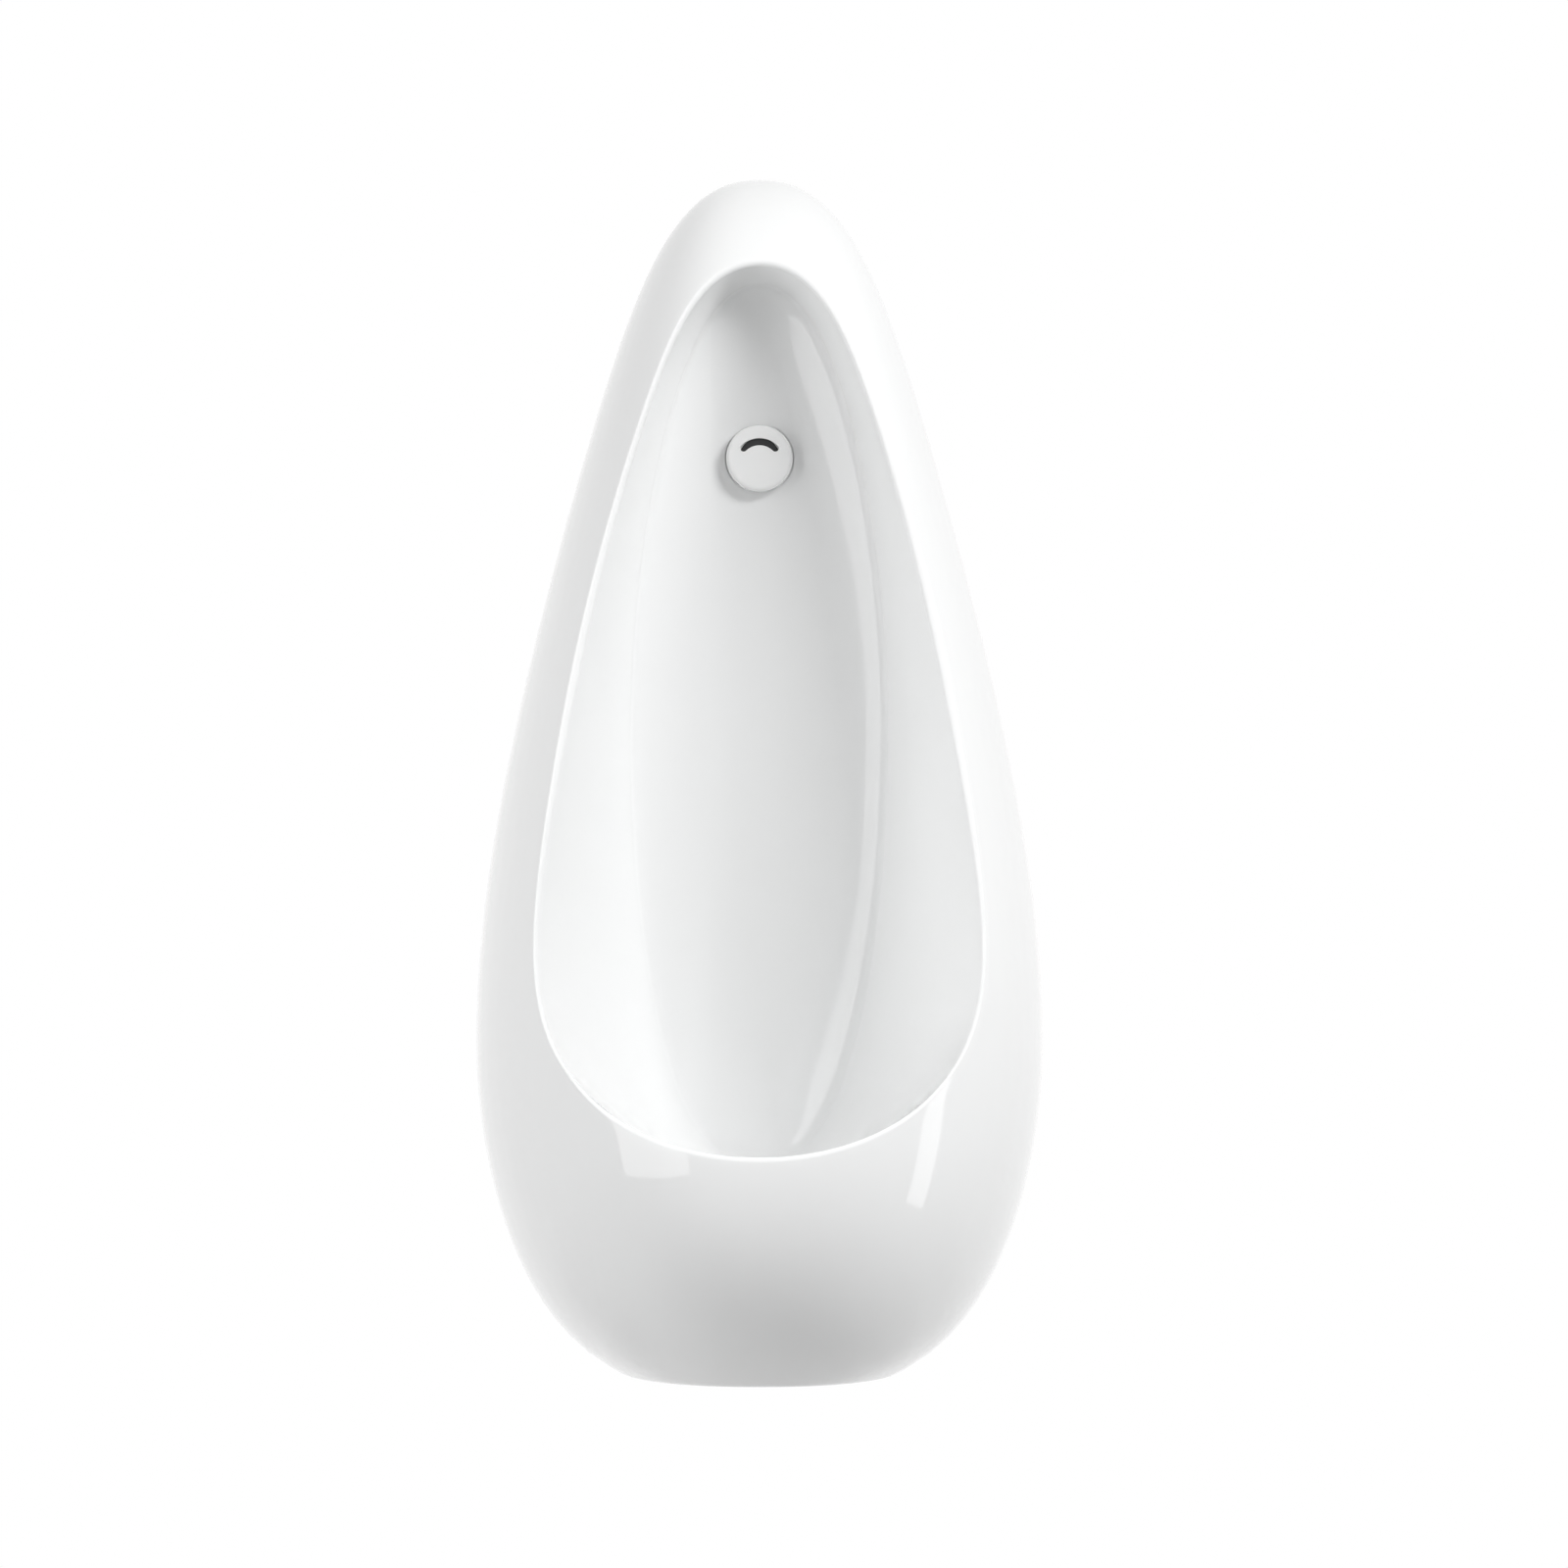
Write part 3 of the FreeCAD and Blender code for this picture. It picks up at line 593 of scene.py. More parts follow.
def new_material(name):
    """A node material, with its shader and output linked, as the shader's wire."""
    material = bpy.data.materials.new(name)
    material.use_nodes = True
    material.node_tree.nodes.clear()
    start = Wire(material.node_tree)
    shader = start.add("ShaderNodeBsdfPrincipled")
    start.add("ShaderNodeOutputMaterial", {"Surface": shader})
    return material, shader


def object_place(shader):
    return shader.add("ShaderNodeTexCoord").also("Object")


def noise_at(shader, vector, scale, detail=3.0, rough=0.5):
    return shader.add("ShaderNodeTexNoise", {
        "Vector": vector, "Scale": scale, "Detail": detail, "Roughness": rough})


def blend_colours(share, first, second):
    return share.add("ShaderNodeMix", {0: share, 6: first, 7: second}, out=2, data_type="RGBA")


def relief(shader, height, depth):
    return shader.add("ShaderNodeBump", {"Strength": 1.0, "Distance": depth, "Height": height})


GLAZE = (0.88, 0.885, 0.885, 1.0)
BISQUE = (0.74, 0.71, 0.66, 1.0)
glaze, glaze_shader = new_material("white glaze")
glaze_here = object_place(glaze_shader)
ripple = noise_at(glaze_shader, glaze_here, 14.0, 1.0, 0.4)
mottle = noise_at(glaze_shader, glaze_here, 5.0)
grit = noise_at(glaze_shader, glaze_here, 900.0)
# Bare are the faces that the hollow's tools cut, and the flat ones against the wall
facing = glaze_shader.add("ShaderNodeNewGeometry").also("Normal").parts()[1]
wall_side = (facing > 0.9) * (glaze_here.parts()[1] > -0.0004)
cut_faces = glaze_shader.add("ShaderNodeAttribute", out="Fac", attribute_name="unglazed")
bare_share = cut_faces.at_least(wall_side)
glaze_shader.feed({
    "Base Color": blend_colours((mottle - 0.5) * 0.05 + bare_share, GLAZE, BISQUE),
    "Roughness": 0.07 + bare_share * 0.6, "IOR": 1.52,
    "Normal": relief(glaze_shader, ripple + bare_share * grit * 0.2, 0.0004)})
end_tree(glazed.without(hollow).without(*holes), glaze)
china = add_object("china", bpy.data.meshes.new("china"))
worked(china, nodes.tree, CHINA_SIZES, sharp_over=38)
settle(china, "bowl", "glazed_china", *[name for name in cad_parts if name.startswith("china_")])


# ---------- Flush cap ----------
# A moulded white plastic cap that screws over the spreader's neck. Water leaves through one curved
# slot in its face, which has a low rounded lip; the front edge is well rounded.
FLUSH_UP = CHINA_SIZES["Flush height"]
HANG_LINE = CHINA_SIZES["Hang line"]
CAP_FACE = 64.5
# Each profile is a list of (radius, distance along the axis, rounding) corners
CAP_PROFILE = [(17.4, 53.0, 0.3), (19.5, 53.0, 0.5), (19.5, 64.1, 3.2), (9.0, CAP_FACE, 6.0),
               (0.0, CAP_FACE, 0.0), (0.0, 62.0, 0.0), (14.5, 62.0, 0.3), (14.5, 60.5, 0.0),
               (12.05, 60.5, 0.0), (12.05, 56.5, 0.0), (17.4, 56.5, 0.2)]


def out_from(x, up):
    """Where a turned point goes, for an axis square to the wall."""
    return lambda radius, turn, along: Vector((
        x + radius * math.sin(turn), -along, up + radius * math.cos(turn) - HANG_LINE)) * MM


def up_from(depth):
    """Where a turned point goes, for an upright axis on the centreline."""
    return lambda radius, turn, along: Vector((
        radius * math.sin(turn), -depth - radius * math.cos(turn), along - HANG_LINE)) * MM


def eased(corners):
    """The corners of a closed profile with each one rounded as far as its last number says."""
    points = []
    for index, (a, b, ease) in enumerate(corners):
        if ease == 0.0:
            points.append((a, b))
            continue
        here = Vector((a, b))
        back = Vector(corners[index - 1][:2]) - here
        on = Vector(corners[(index + 1) % len(corners)][:2]) - here
        start = here + back.normalized() * min(ease, back.length * 0.49)
        stop = here + on.normalized() * min(ease, on.length * 0.49)
        for share in (0.0, 0.2, 0.4, 0.6, 0.8, 1.0):
            point = start * (1 - share) ** 2 + here * 2 * share * (1 - share) + stop * share ** 2
            points.append(tuple(point))
    return points


def mesh_of(name, points, faces, material=None):
    """A closed mesh with merged doubles and outward normals, smooth but for its sharp edges."""
    shape = bmesh.new()
    made = [shape.verts.new(point) for point in points]
    for face in faces:
        shape.faces.new([made[index] for index in face])
    bmesh.ops.remove_doubles(shape, verts=shape.verts, dist=0.000002)
    bmesh.ops.dissolve_degenerate(shape, edges=shape.edges, dist=0.000001)
    bmesh.ops.recalc_face_normals(shape, faces=shape.faces)
    mesh = bpy.data.meshes.new(name)
    shape.to_mesh(mesh)
    shape.free()
    if material:
        mesh.materials.append(material)
    soften(mesh)
    return mesh


ON_AXIS = 0.001


def turned(name, corners, put, material=None, steps=96, radius_at=lambda radius, turn, along: radius):
    """A profile turned about an axis, as a closed mesh."""
    profile = eased(corners)
    points = []
    for step in range(steps):
        turn = 2 * math.pi * step / steps
        points += [put(radius_at(radius, turn, along), turn, along) for radius, along in profile]
    rows = len(profile)
    faces = []
    for step in range(steps):
        a, b = step * rows, (step + 1) % steps * rows
        for row in range(rows):
            on = (row + 1) % rows
            if profile[row][0] > ON_AXIS or profile[on][0] > ON_AXIS:
                faces.append((a + row, a + on, b + on, b + row))
    return mesh_of(name, points, faces, material)


def turned_piece(name, corners, put, material, **more):
    return add_object(name, turned(name, corners, put, material, **more))


cap_plastic, cap_shader = new_material("white cap plastic")
cap_here = object_place(cap_shader)
cap_cloud = noise_at(cap_shader, cap_here, 60.0)
cap_skin = noise_at(cap_shader, cap_here, 900.0)
cap_shader.feed({
    "Base Color": blend_colours(cap_cloud, (0.84, 0.845, 0.845, 1), (0.88, 0.88, 0.875, 1)),
    "Roughness": 0.15 + cap_skin * 0.08, "IOR": 1.49, "Coat Weight": 0.15,
    "Normal": relief(cap_shader, cap_skin * 0.5 + cap_cloud, 0.00002)})

# The slot lies on an arc whose middle is below the cap's middle, so its ends droop
SLOT_ARC_R = 13.3
SLOT_ARC_UP = FLUSH_UP - 3.8
SLOT_HALF = 2.1
SLOT_ANGLE = math.radians(44)
LIP_R = 0.45
LIP_BACK = 0.35


def slot_outline(grow):
    """The slot's outline, grown by a distance, as (across, up) points."""
    half = SLOT_HALF + grow
    points = []
    for end in (1, -1):
        reach_r = SLOT_ARC_R + end * half
        for step in range(25):
            turn = end * SLOT_ANGLE * (step / 12 - 1)
            points.append((reach_r * math.sin(turn), reach_r * math.cos(turn)))
        for step in range(1, 8):
            turn = end * SLOT_ANGLE + math.pi * (step / 8 + (0 if end > 0 else 1))
            points.append((SLOT_ARC_R * math.sin(end * SLOT_ANGLE) + half * math.sin(turn),
                           SLOT_ARC_R * math.cos(SLOT_ANGLE) + half * math.cos(turn)))
    return [(x, SLOT_ARC_UP + up) for x, up in points]


def sides(count):
    """The faces between two rings of points that follow each other."""
    return [(i, (i + 1) % count, count + (i + 1) % count, count + i) for i in range(count)]


def prism(name, outline, near, far):
    """An outline of (across, up) points carried straight out of the wall from near to far."""
    count = len(outline)
    points = [Vector((x, -depth, up - HANG_LINE)) * MM for depth in (near, far) for x, up in outline]
    faces = [tuple(range(count)), tuple(range(2 * count - 1, count - 1, -1))]
    return mesh_of(name, points, faces + sides(count))


def bead(outline, depth, radius):
    """A closed round bead along an outline in a plane square to the wall."""
    curve = bpy.data.curves.new("bead", "CURVE")
    curve.dimensions = "3D"
    line = curve.splines.new("POLY")
    line.points.add(len(outline) - 1)
    for point, (x, up) in zip(line.points, outline):
        point.co = (x * MM, -depth * MM, (up - HANG_LINE) * MM, 1.0)
    line.use_cyclic_u = True
    curve.bevel_depth = radius * MM
    curve.bevel_resolution = 3
    holder = bpy.data.objects.new("bead", curve)
    mesh = bpy.data.meshes.new_from_object(holder)
    bpy.data.objects.remove(holder)
    return mesh


def cut_from(piece, *tools):
    """Takes closed meshes out of a piece."""
    for tool in tools:
        helper = add_object("tool", tool)
        modifier = piece.modifiers.new("cut", "BOOLEAN")
        modifier.operation = "DIFFERENCE"
        modifier.solver = "MANIFOLD"
        modifier.object = helper
        keep_form(piece, modifier)
        bpy.data.objects.remove(helper)
    soften(piece.data)


def join_to(piece, other):
    """Adds a closed mesh to a piece as it is."""
    shape = bmesh.new()
    shape.from_mesh(piece.data)
    shape.from_mesh(other)
    shape.to_mesh(piece.data)
    shape.free()
    soften(piece.data)


flush_axis = out_from(0.0, FLUSH_UP)
cap = turned_piece("flush_cap", CAP_PROFILE, flush_axis, cap_plastic, steps=128)
cut_from(cap, prism("slot", slot_outline(0.0), 60.0, 70.0))
join_to(cap, bead(slot_outline(LIP_BACK), CAP_FACE - LIP_BACK, LIP_R))
settle(cap, "cap", "white_cap", "spreader_cap")


# ---------- Flush spreader behind the cap ----------
# A black moulded body with a threaded tail comes through the back wall; a brass backnut pulls it
# up on a steel washer and rubber gasket, and a brass coupling joins the tail to the supply pipe.


def grained(name, colours, roughness, depth, scale, **plain_values):
    """A moulded or cast surface: two close colours in soft clouds, and a fine grain."""
    material, shader = new_material(name)
    here = object_place(shader)
    cloud = noise_at(shader, here, scale * 0.12)
    grain = noise_at(shader, here, scale)
    shader.feed({"Base Color": blend_colours(cloud, *colours),
                 "Roughness": (grain - 0.5) * 0.25 + roughness + (cloud - 0.5) * 0.12,
                 "Normal": relief(shader, grain + cloud * 0.4, depth), **plain_values})
    return material


def machined(name, colours, roughness, middle, upright=False, lines=2600.0):
    """Turned metal: fine rings about the axis, upright or out of the wall, and slight tarnish."""
    material, shader = new_material(name)
    here = object_place(shader)
    x, y, z = here.parts()
    along, other = (z, y - middle * MM) if upright else (y, z - middle * MM)
    rings = noise_at(shader, shader.vector(root(x * x + other * other), along), lines, 2.0)
    tarnish = noise_at(shader, here, 70.0, 4.0)
    shader.feed({"Base Color": blend_colours(limit(tarnish * 1.6 - 0.3), *colours), "Metallic": 1.0,
                 "Roughness": (rings - 0.5) * 0.2 + roughness + (tarnish - 0.5) * 0.2,
                 "Normal": relief(shader, rings, 0.000008)})
    return material


BLACK = ((0.016, 0.016, 0.018, 1), (0.03, 0.03, 0.032, 1))
black_plastic = grained("black plastic", BLACK, 0.42, 0.00004, 700.0)
RUBBER = ((0.022, 0.022, 0.022, 1), (0.045, 0.043, 0.042, 1))
rubber = grained("black rubber", RUBBER, 0.68, 0.00006, 500.0, **{"Specular IOR Level": 0.35})
BRASS = ((0.78, 0.57, 0.27, 1), (0.62, 0.42, 0.19, 1))
flush_brass = machined("turned brass, flush", BRASS, 0.3, FLUSH_UP - HANG_LINE)


def hexagon(across_flats, beyond=0.0):
    """Limits a turned profile to a hexagon where its radius is more than a given one."""
    def radius_at(radius, turn, along):
        if radius <= beyond:
            return radius
        sector = (turn + math.pi / 6) % (math.pi / 3) - math.pi / 6
        return min(radius, across_flats / 2 / math.cos(sector))
    return radius_at


CHAMFER_START = 0.97


def nut_profile(bore, across_flats, low, high):
    """A nut's profile: plain bore with eased mouths, faces chamfered at 30 degrees to the corners."""
    corner = across_flats / math.sqrt(3)
    face = across_flats / 2 * CHAMFER_START
    drop = (corner - face) * math.tan(math.pi / 6)
    return [(bore, low, 0.4), (face, low, 0.0), (corner, low + drop, 0.0), (corner, high - drop, 0.0),
            (face, high, 0.0), (bore, high, 0.4)]


# The thread is a ridge that follows a helix round a blank: one tree, used for every threaded tail
THREAD_SIZES = {"Radius": 9.9, "Pitch": 1.81, "Turns": 8.0, "Ridge": 0.6, "Tilt": 0.0, "Out": 0.0, "Up": 0.0}
RIDGE_SHARE = 0.32
thread, size = new_tree("screw thread", THREAD_SIZES, blank=True)
helix = thread.add("GeometryNodeCurveSpiral", {
    "Resolution": 40, "Rotations": size["Turns"], "Start Radius": size["Radius"] * MM,
    "End Radius": size["Radius"] * MM, "Height": size["Pitch"] * size["Turns"] * MM})
ridge = thread.add("GeometryNodeCurvePrimitiveCircle", {
    "Resolution": 4, "Radius": size["Ridge"] * MM})
swept = thread.add("GeometryNodeCurveToMesh", {
    "Curve": helix, "Profile Curve": ridge, "Fill Caps": True})
laid = swept.moved(y=size["Out"] * -MM, z=size["Up"] * MM, tilt=size["Tilt"])
both = thread.add("GeometryNodeJoinGeometry", {"Geometry": [laid, size["Blank"]]})
end_tree(both, size["Material"])


def threaded(piece, radius, pitch, turns, out, up, tilt=0.0):
    ridge_r = pitch * RIDGE_SHARE
    worked(piece, thread.tree, {
        "Radius": radius - ridge_r, "Pitch": pitch, "Turns": turns, "Ridge": ridge_r, "Out": out,
        "Up": up - HANG_LINE, "Tilt": tilt})


BODY_PROFILE = [(6.0, 14.5, 0.5), (9.7, 14.5, 0.8), (9.7, 53.5, 0.0), (17.0, 53.5, 0.3),
                (17.0, 55.5, 0.3), (12.0, 55.5, 0.0), (12.0, 60.5, 0.6), (6.0, 60.5, 0.4)]
spreader = turned_piece("spreader_tail", BODY_PROFILE, flush_axis, black_plastic)
threaded(spreader, 10.4, 1.81, 19.0, 51.0, FLUSH_UP, -math.pi / 2)
settle(spreader, "bowl", "black_plastic", "spreader_body")

NUT_FLATS = 27.0
back_nut = turned_piece("spreader_nut", nut_profile(10.45, NUT_FLATS, 31.8, 38.8), flush_axis, flush_brass,
                        radius_at=hexagon(NUT_FLATS))
settle(back_nut, "bowl", "brass", "spreader_backnut")

COUPLING_PROFILE = [(9.3, 1.0, 0.6), (13.0, 1.0, 0.6), (13.0, 10.0, 0.0), (14.6, 10.0, 0.0),
                    (17.32, 11.6, 0.0), (17.32, 20.4, 0.0), (14.6, 22.0, 0.0), (13.0, 22.0, 0.0),
                    (13.0, 30.0, 0.6), (10.45, 30.0, 0.5), (10.45, 13.0, 0.0), (9.3, 13.0, 0.0)]
coupling = turned_piece("supply_coupling", COUPLING_PROFILE, flush_axis, flush_brass,
                        radius_at=hexagon(30.0, beyond=13.1))
settle(coupling, "bowl", "brass", "inlet_coupling")


def finish_nodes(material, *names):
    """Gives carried-over solids their material."""
    for name in names:
        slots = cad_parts[name].data.materials
        slots.clear()
        slots.append(material)


ZINC = ((0.62, 0.64, 0.67, 1), (0.55, 0.53, 0.47, 1))
zinc = grained("zinc plated steel", ZINC, 0.34, 0.000012, 420.0, Metallic=1.0)
FIBRE = ((0.30, 0.05, 0.035, 1), (0.42, 0.09, 0.05, 1))
fibre = grained("red fibre", FIBRE, 0.75, 0.00008, 900.0)
finish_nodes(rubber, "spreader_cap_ring", "spreader_seal", "spreader_gasket")
finish_nodes(zinc, "spreader_washer")
finish_nodes(fibre, "inlet_washer")


# ---------- Waste and strainer ----------
# A stainless flange drops into the sump's seat and a brass backnut draws it down from under the
# china. The strainer is a pressed stainless grating with rings of holes; it lifts out by hand.
DRAIN_OUT = CHINA_SIZES["Drain depth"]
drain_axis = up_from(DRAIN_OUT)
STEEL = ((0.66, 0.66, 0.66, 1), (0.52, 0.53, 0.54, 1))
steel = machined("brushed stainless", STEEL, 0.22, -DRAIN_OUT, upright=True, lines=1800.0)
waste_brass = machined("turned brass, waste", BRASS, 0.32, -DRAIN_OUT, upright=True)

FLANGE_PROFILE = [(17.6, 79.5, 0.4), (20.0, 79.5, 0.6), (20.0, 106.5, 0.0), (32.0, 106.5, 0.3),
                  (32.0, 109.0, 1.3), (29.0, 109.0, 0.4), (29.0, 107.7, 0.2), (17.6, 107.7, 0.5)]
flange = turned_piece("waste_flange_ring", FLANGE_PROFILE, drain_axis, steel, steps=128)
threaded(flange, 20.9, 2.31, 10.0, DRAIN_OUT, 80.8)
settle(flange, "bowl", "stainless", "waste_flange")

# The holes repeat in rings: cutters are set on circles and taken out of the turned grating
HOLE_SIZES = {"Hole radius": 1.9, "Ease": 0.45, "Inner ring": 8.0, "Inner count": 6, "Outer ring": 13.0,
              "Outer count": 10, "Middle radius": 2.6, "Top": 109.7, "Thickness": 2.0, "Out": DRAIN_OUT}
punch, size = new_tree("strainer holes", HOLE_SIZES, blank=True)


# A long slim flare and a short wide one make each hole's mouth; they reach past the face
FLARES = ((0.0, 1.0), (0.55, 0.35))
OVERLAP = 0.4 * MM


def cutter(radius):
    """A punch with a flared mouth, so that the hole's edge comes out rounded over."""
    tool = [punch.add("GeometryNodeMeshCylinder", {
        "Vertices": 32, "Radius": radius * MM, "Depth": size["Thickness"] * 3 * MM})]
    for share, deep in FLARES:
        flare = punch.add("GeometryNodeMeshCone", {
            "Vertices": 32, "Radius Top": (radius + size["Ease"] * (2 - share)) * MM,
            "Radius Bottom": (radius - size["Ease"] * 0.02) * MM,
            "Depth": size["Ease"] * 2 * deep * MM + OVERLAP})
        tool.append(flare.moved(z=(size["Thickness"] / 2 - size["Ease"] * deep) * MM))
    return tool[0].union(*tool[1:])


def copies_on_ring(tree, count, radius, mesh):
    """Copies of a mesh on a level ring."""
    spots = tree.add("GeometryNodeMeshCircle", {"Vertices": count, "Radius": radius * MM})
    set_out = tree.add("GeometryNodeInstanceOnPoints", {"Points": spots, "Instance": mesh})
    return set_out.add("GeometryNodeRealizeInstances", {"Geometry": set_out})


small = cutter(size["Hole radius"])
rings = punch.add("GeometryNodeJoinGeometry", {"Geometry": [
    copies_on_ring(punch, size["Inner count"], size["Inner ring"], small),
    copies_on_ring(punch, size["Outer count"], size["Outer ring"], small),
    cutter(size["Middle radius"])]})
set_up = rings.moved(y=size["Out"] * -MM, z=(size["Top"] - size["Thickness"] / 2 - HANG_LINE) * MM)
end_tree(size["Blank"].without(set_up), size["Material"])

GRATE_PROFILE = [(0.0, 107.7, 0.0), (15.4, 107.7, 0.0), (15.4, 99.7, 0.3), (17.2, 99.7, 0.3),
                 (17.2, 107.7, 0.4), (28.6, 107.7, 0.4), (28.6, 109.7, 0.9), (22.0, 109.7, 0.8),
                 (20.5, 109.2, 0.8), (19.0, 109.2, 0.8), (17.5, 109.7, 0.8), (0.0, 109.7, 0.0)]
strainer = turned_piece("strainer", GRATE_PROFILE, drain_axis, steel, steps=128)
worked(strainer, punch.tree, HOLE_SIZES)
settle(strainer, "strainer", "stainless", "waste_strainer")

WASTE_NUT_FLATS = 54.0
waste_nut = turned_piece("waste_nut", nut_profile(20.95, WASTE_NUT_FLATS, 84.5, 91.5), drain_axis,
                         waste_brass, radius_at=hexagon(WASTE_NUT_FLATS))
settle(waste_nut, "bowl", "brass", "waste_backnut")
finish_nodes(rubber, "waste_flange_seal", "waste_gasket")
finish_nodes(fibre, "waste_washer")


# ---------- Bottle trap ----------
# Moulded white plastic: a union nut hangs it from the waste, a tube dips into the cup's water, and
# the side outlet leads to the wall. Nuts and cup have moulded grip ribs; the cup screws off.
TRAP_WHITE = ((0.77, 0.77, 0.75, 1), (0.81, 0.81, 0.79, 1))
trap_plastic = grained("white trap plastic", TRAP_WHITE, 0.33, 0.00003, 500.0)
OUTLET_UP = 52.0
outlet_axis = out_from(0.0, OUTLET_UP)

# Grip ribs: half-round bars with domed ends, set on a circle round a turned blank and joined to it
RIB_SIZES = {"Ring radius": 26.0, "Rib radius": 1.6, "Rib length": 8.0, "Count": 12, "Tilt": 0.0,
             "Out": 0.0, "Up": 0.0}
grip, size = new_tree("grip ribs", RIB_SIZES, blank=True)
rib_r = size["Rib radius"] * MM
bar = grip.add("GeometryNodeMeshCylinder", {
    "Vertices": 16, "Side Segments": 1, "Radius": rib_r,
    "Depth": (size["Rib length"] - size["Rib radius"] * 2) * MM})
dome = grip.add("GeometryNodeMeshUVSphere", {"Segments": 16, "Rings": 8, "Radius": rib_r})
dome_at = (size["Rib length"] / 2 - size["Rib radius"]) * MM
bar = bar.union(dome.moved(z=dome_at), dome.moved(z=dome_at * -1))
ribs = copies_on_ring(grip, size["Count"], size["Ring radius"], bar)
ribs = ribs.moved(y=size["Out"] * -MM, z=size["Up"] * MM, tilt=size["Tilt"])
end_tree(size["Blank"].union(ribs), size["Material"])


def ribbed(piece, ring, radius, length, count, out, up, tilt=0.0):
    worked(piece, grip.tree, {
        "Ring radius": ring, "Rib radius": radius, "Rib length": length, "Count": count, "Out": out,
        "Up": up - HANG_LINE, "Tilt": tilt})


def cap_nut(outer, bore, hole, low, floor, high):
    """The profile of a nut with a floor that a tube comes through."""
    return [(hole, low, 0.3), (outer, low, 0.8), (outer, high, 0.8), (bore, high, 0.3),
            (bore, floor, 0.0), (hole, floor, 0.0)]


union_nut = turned_piece("trap_union_nut", cap_nut(26.0, 20.95, 17.3, 73.0, 75.5, 83.5), drain_axis,
                         trap_plastic)
ribbed(union_nut, 26.0, 1.55, 10.0, 12, DRAIN_OUT, 78.25)
settle(union_nut, "bowl", "trap_plastic", "trap_inlet_nut")

HOUSING_PROFILE = [(31.5, 20.0, 0.3), (34.0, 20.0, 0.5), (34.0, 32.0, 0.0), (38.5, 32.0, 0.5),
                   (38.5, 34.0, 0.8), (35.0, 34.0, 0.5), (35.0, 72.0, 3.5), (22.0, 72.0, 0.5),
                   (21.0, 72.0, 0.5), (17.05, 72.0, 0.4), (17.05, 69.0, 0.0), (31.5, 69.0, 1.0)]
STUB_PROFILE = [(16.05, 98.0, 0.4), (19.0, 98.0, 0.5), (19.0, 122.0, 0.0), (16.05, 122.0, 0.0)]
housing = turned_piece("trap_housing", HOUSING_PROFILE, drain_axis, trap_plastic, steps=128)
join_to(housing, turned("stub", STUB_PROFILE, outlet_axis, trap_plastic))
settle(housing, "bowl", "trap_plastic", "trap_body")

CUP_PROFILE = [(0.0, 4.0, 0.0), (15.0, 4.0, 0.5), (16.0, 4.6, 0.5), (30.0, 4.6, 0.5), (31.0, 4.0, 0.5),
               (38.0, 4.0, 3.2), (38.0, 30.0, 0.7), (34.05, 30.0, 0.3), (34.05, 19.0, 0.0),
               (33.0, 19.0, 0.0), (33.0, 7.0, 2.0), (0.0, 7.0, 0.0)]
cup = turned_piece("trap_cup_bottom", CUP_PROFILE, drain_axis, trap_plastic, steps=128)
ribbed(cup, 38.0, 1.2, 20.0, 32, DRAIN_OUT, 18.5)
settle(cup, "cup", "trap_plastic", "trap_cup")

outlet_nut = turned_piece("trap_outlet_grip", cap_nut(23.0, 19.05, 16.3, 90.0, 95.0, 108.0), outlet_axis,
                          trap_plastic)
ribbed(outlet_nut, 23.0, 1.45, 17.0, 16, 99.0, OUTLET_UP, math.pi / 2)
settle(outlet_nut, "bowl", "trap_plastic", "trap_outlet_nut")

SOCKET_PROFILE = [(20.0, 0.0, 0.5), (24.5, 0.0, 0.8), (24.5, 5.0, 0.6), (23.7, 6.0, 0.6), (23.7, 12.0, 0.6),
                  (24.5, 13.0, 0.6), (24.5, 16.0, 0.6), (23.7, 17.0, 0.6), (23.7, 23.0, 0.6),
                  (24.5, 24.0, 0.6), (24.5, 29.0, 1.5), (20.5, 29.0, 0.5), (20.5, 44.0, 0.8),
                  (16.05, 44.0, 0.4), (16.05, 29.0, 0.0), (14.0, 29.0, 0.0), (14.0, 26.0, 0.0),
                  (20.0, 26.0, 0.0)]
wall_socket = turned_piece("wall_socket", SOCKET_PROFILE, outlet_axis, rubber)
settle(wall_socket, "bowl", "rubber", "outlet_socket")
finish_nodes(trap_plastic, "trap_dip_tube", "trap_outlet_tube")
finish_nodes(rubber, "trap_inlet_washer", "trap_cup_seal", "trap_outlet_washer")


# ---------- Wall hooks, pads and screw sleeves ----------
# Two hooks bent from 3 mm zinc plated strip are screwed to the wall and carry the china's bar on
# clip-on plastic pads. Two plastic sleeves line the screw holes in the foot of the flange.
STRIP = 3.0
STRIP_HALF = 13.0
# The strip's middle line as (depth, up, bend radius), from the screw plate to the upturned tip
STRIP_LINE = [(1.5, 535.0, 0.0), (1.5, 586.5, 3.0), (26.5, 586.5, 3.0), (26.5, 599.0, 0.0)]


def strip_outline():
    """The bent strip from the side, as (depth, up) points."""
    line = []
    for index, (a, b, bend) in enumerate(STRIP_LINE):
        here = Vector((a, b))
        if not bend:
            line.append(here)
            continue
        back = (Vector(STRIP_LINE[index - 1][:2]) - here).normalized()
        on = (Vector(STRIP_LINE[index + 1][:2]) - here).normalized()
        middle = here + (back + on) * bend
        for step in range(9):
            turn = math.pi / 2 * step / 8
            line.append(middle - on * bend * math.cos(turn) - back * bend * math.sin(turn))
    edges = [[], []]
    for index, point in enumerate(line):
        way = (line[min(index + 1, len(line) - 1)] - line[max(index - 1, 0)]).normalized()
        across_way = Vector((-way.y, way.x)) * (STRIP / 2)
        edges[0].append(point + across_way)
        edges[1].append(point - across_way)
    return edges[0] + edges[1][::-1]


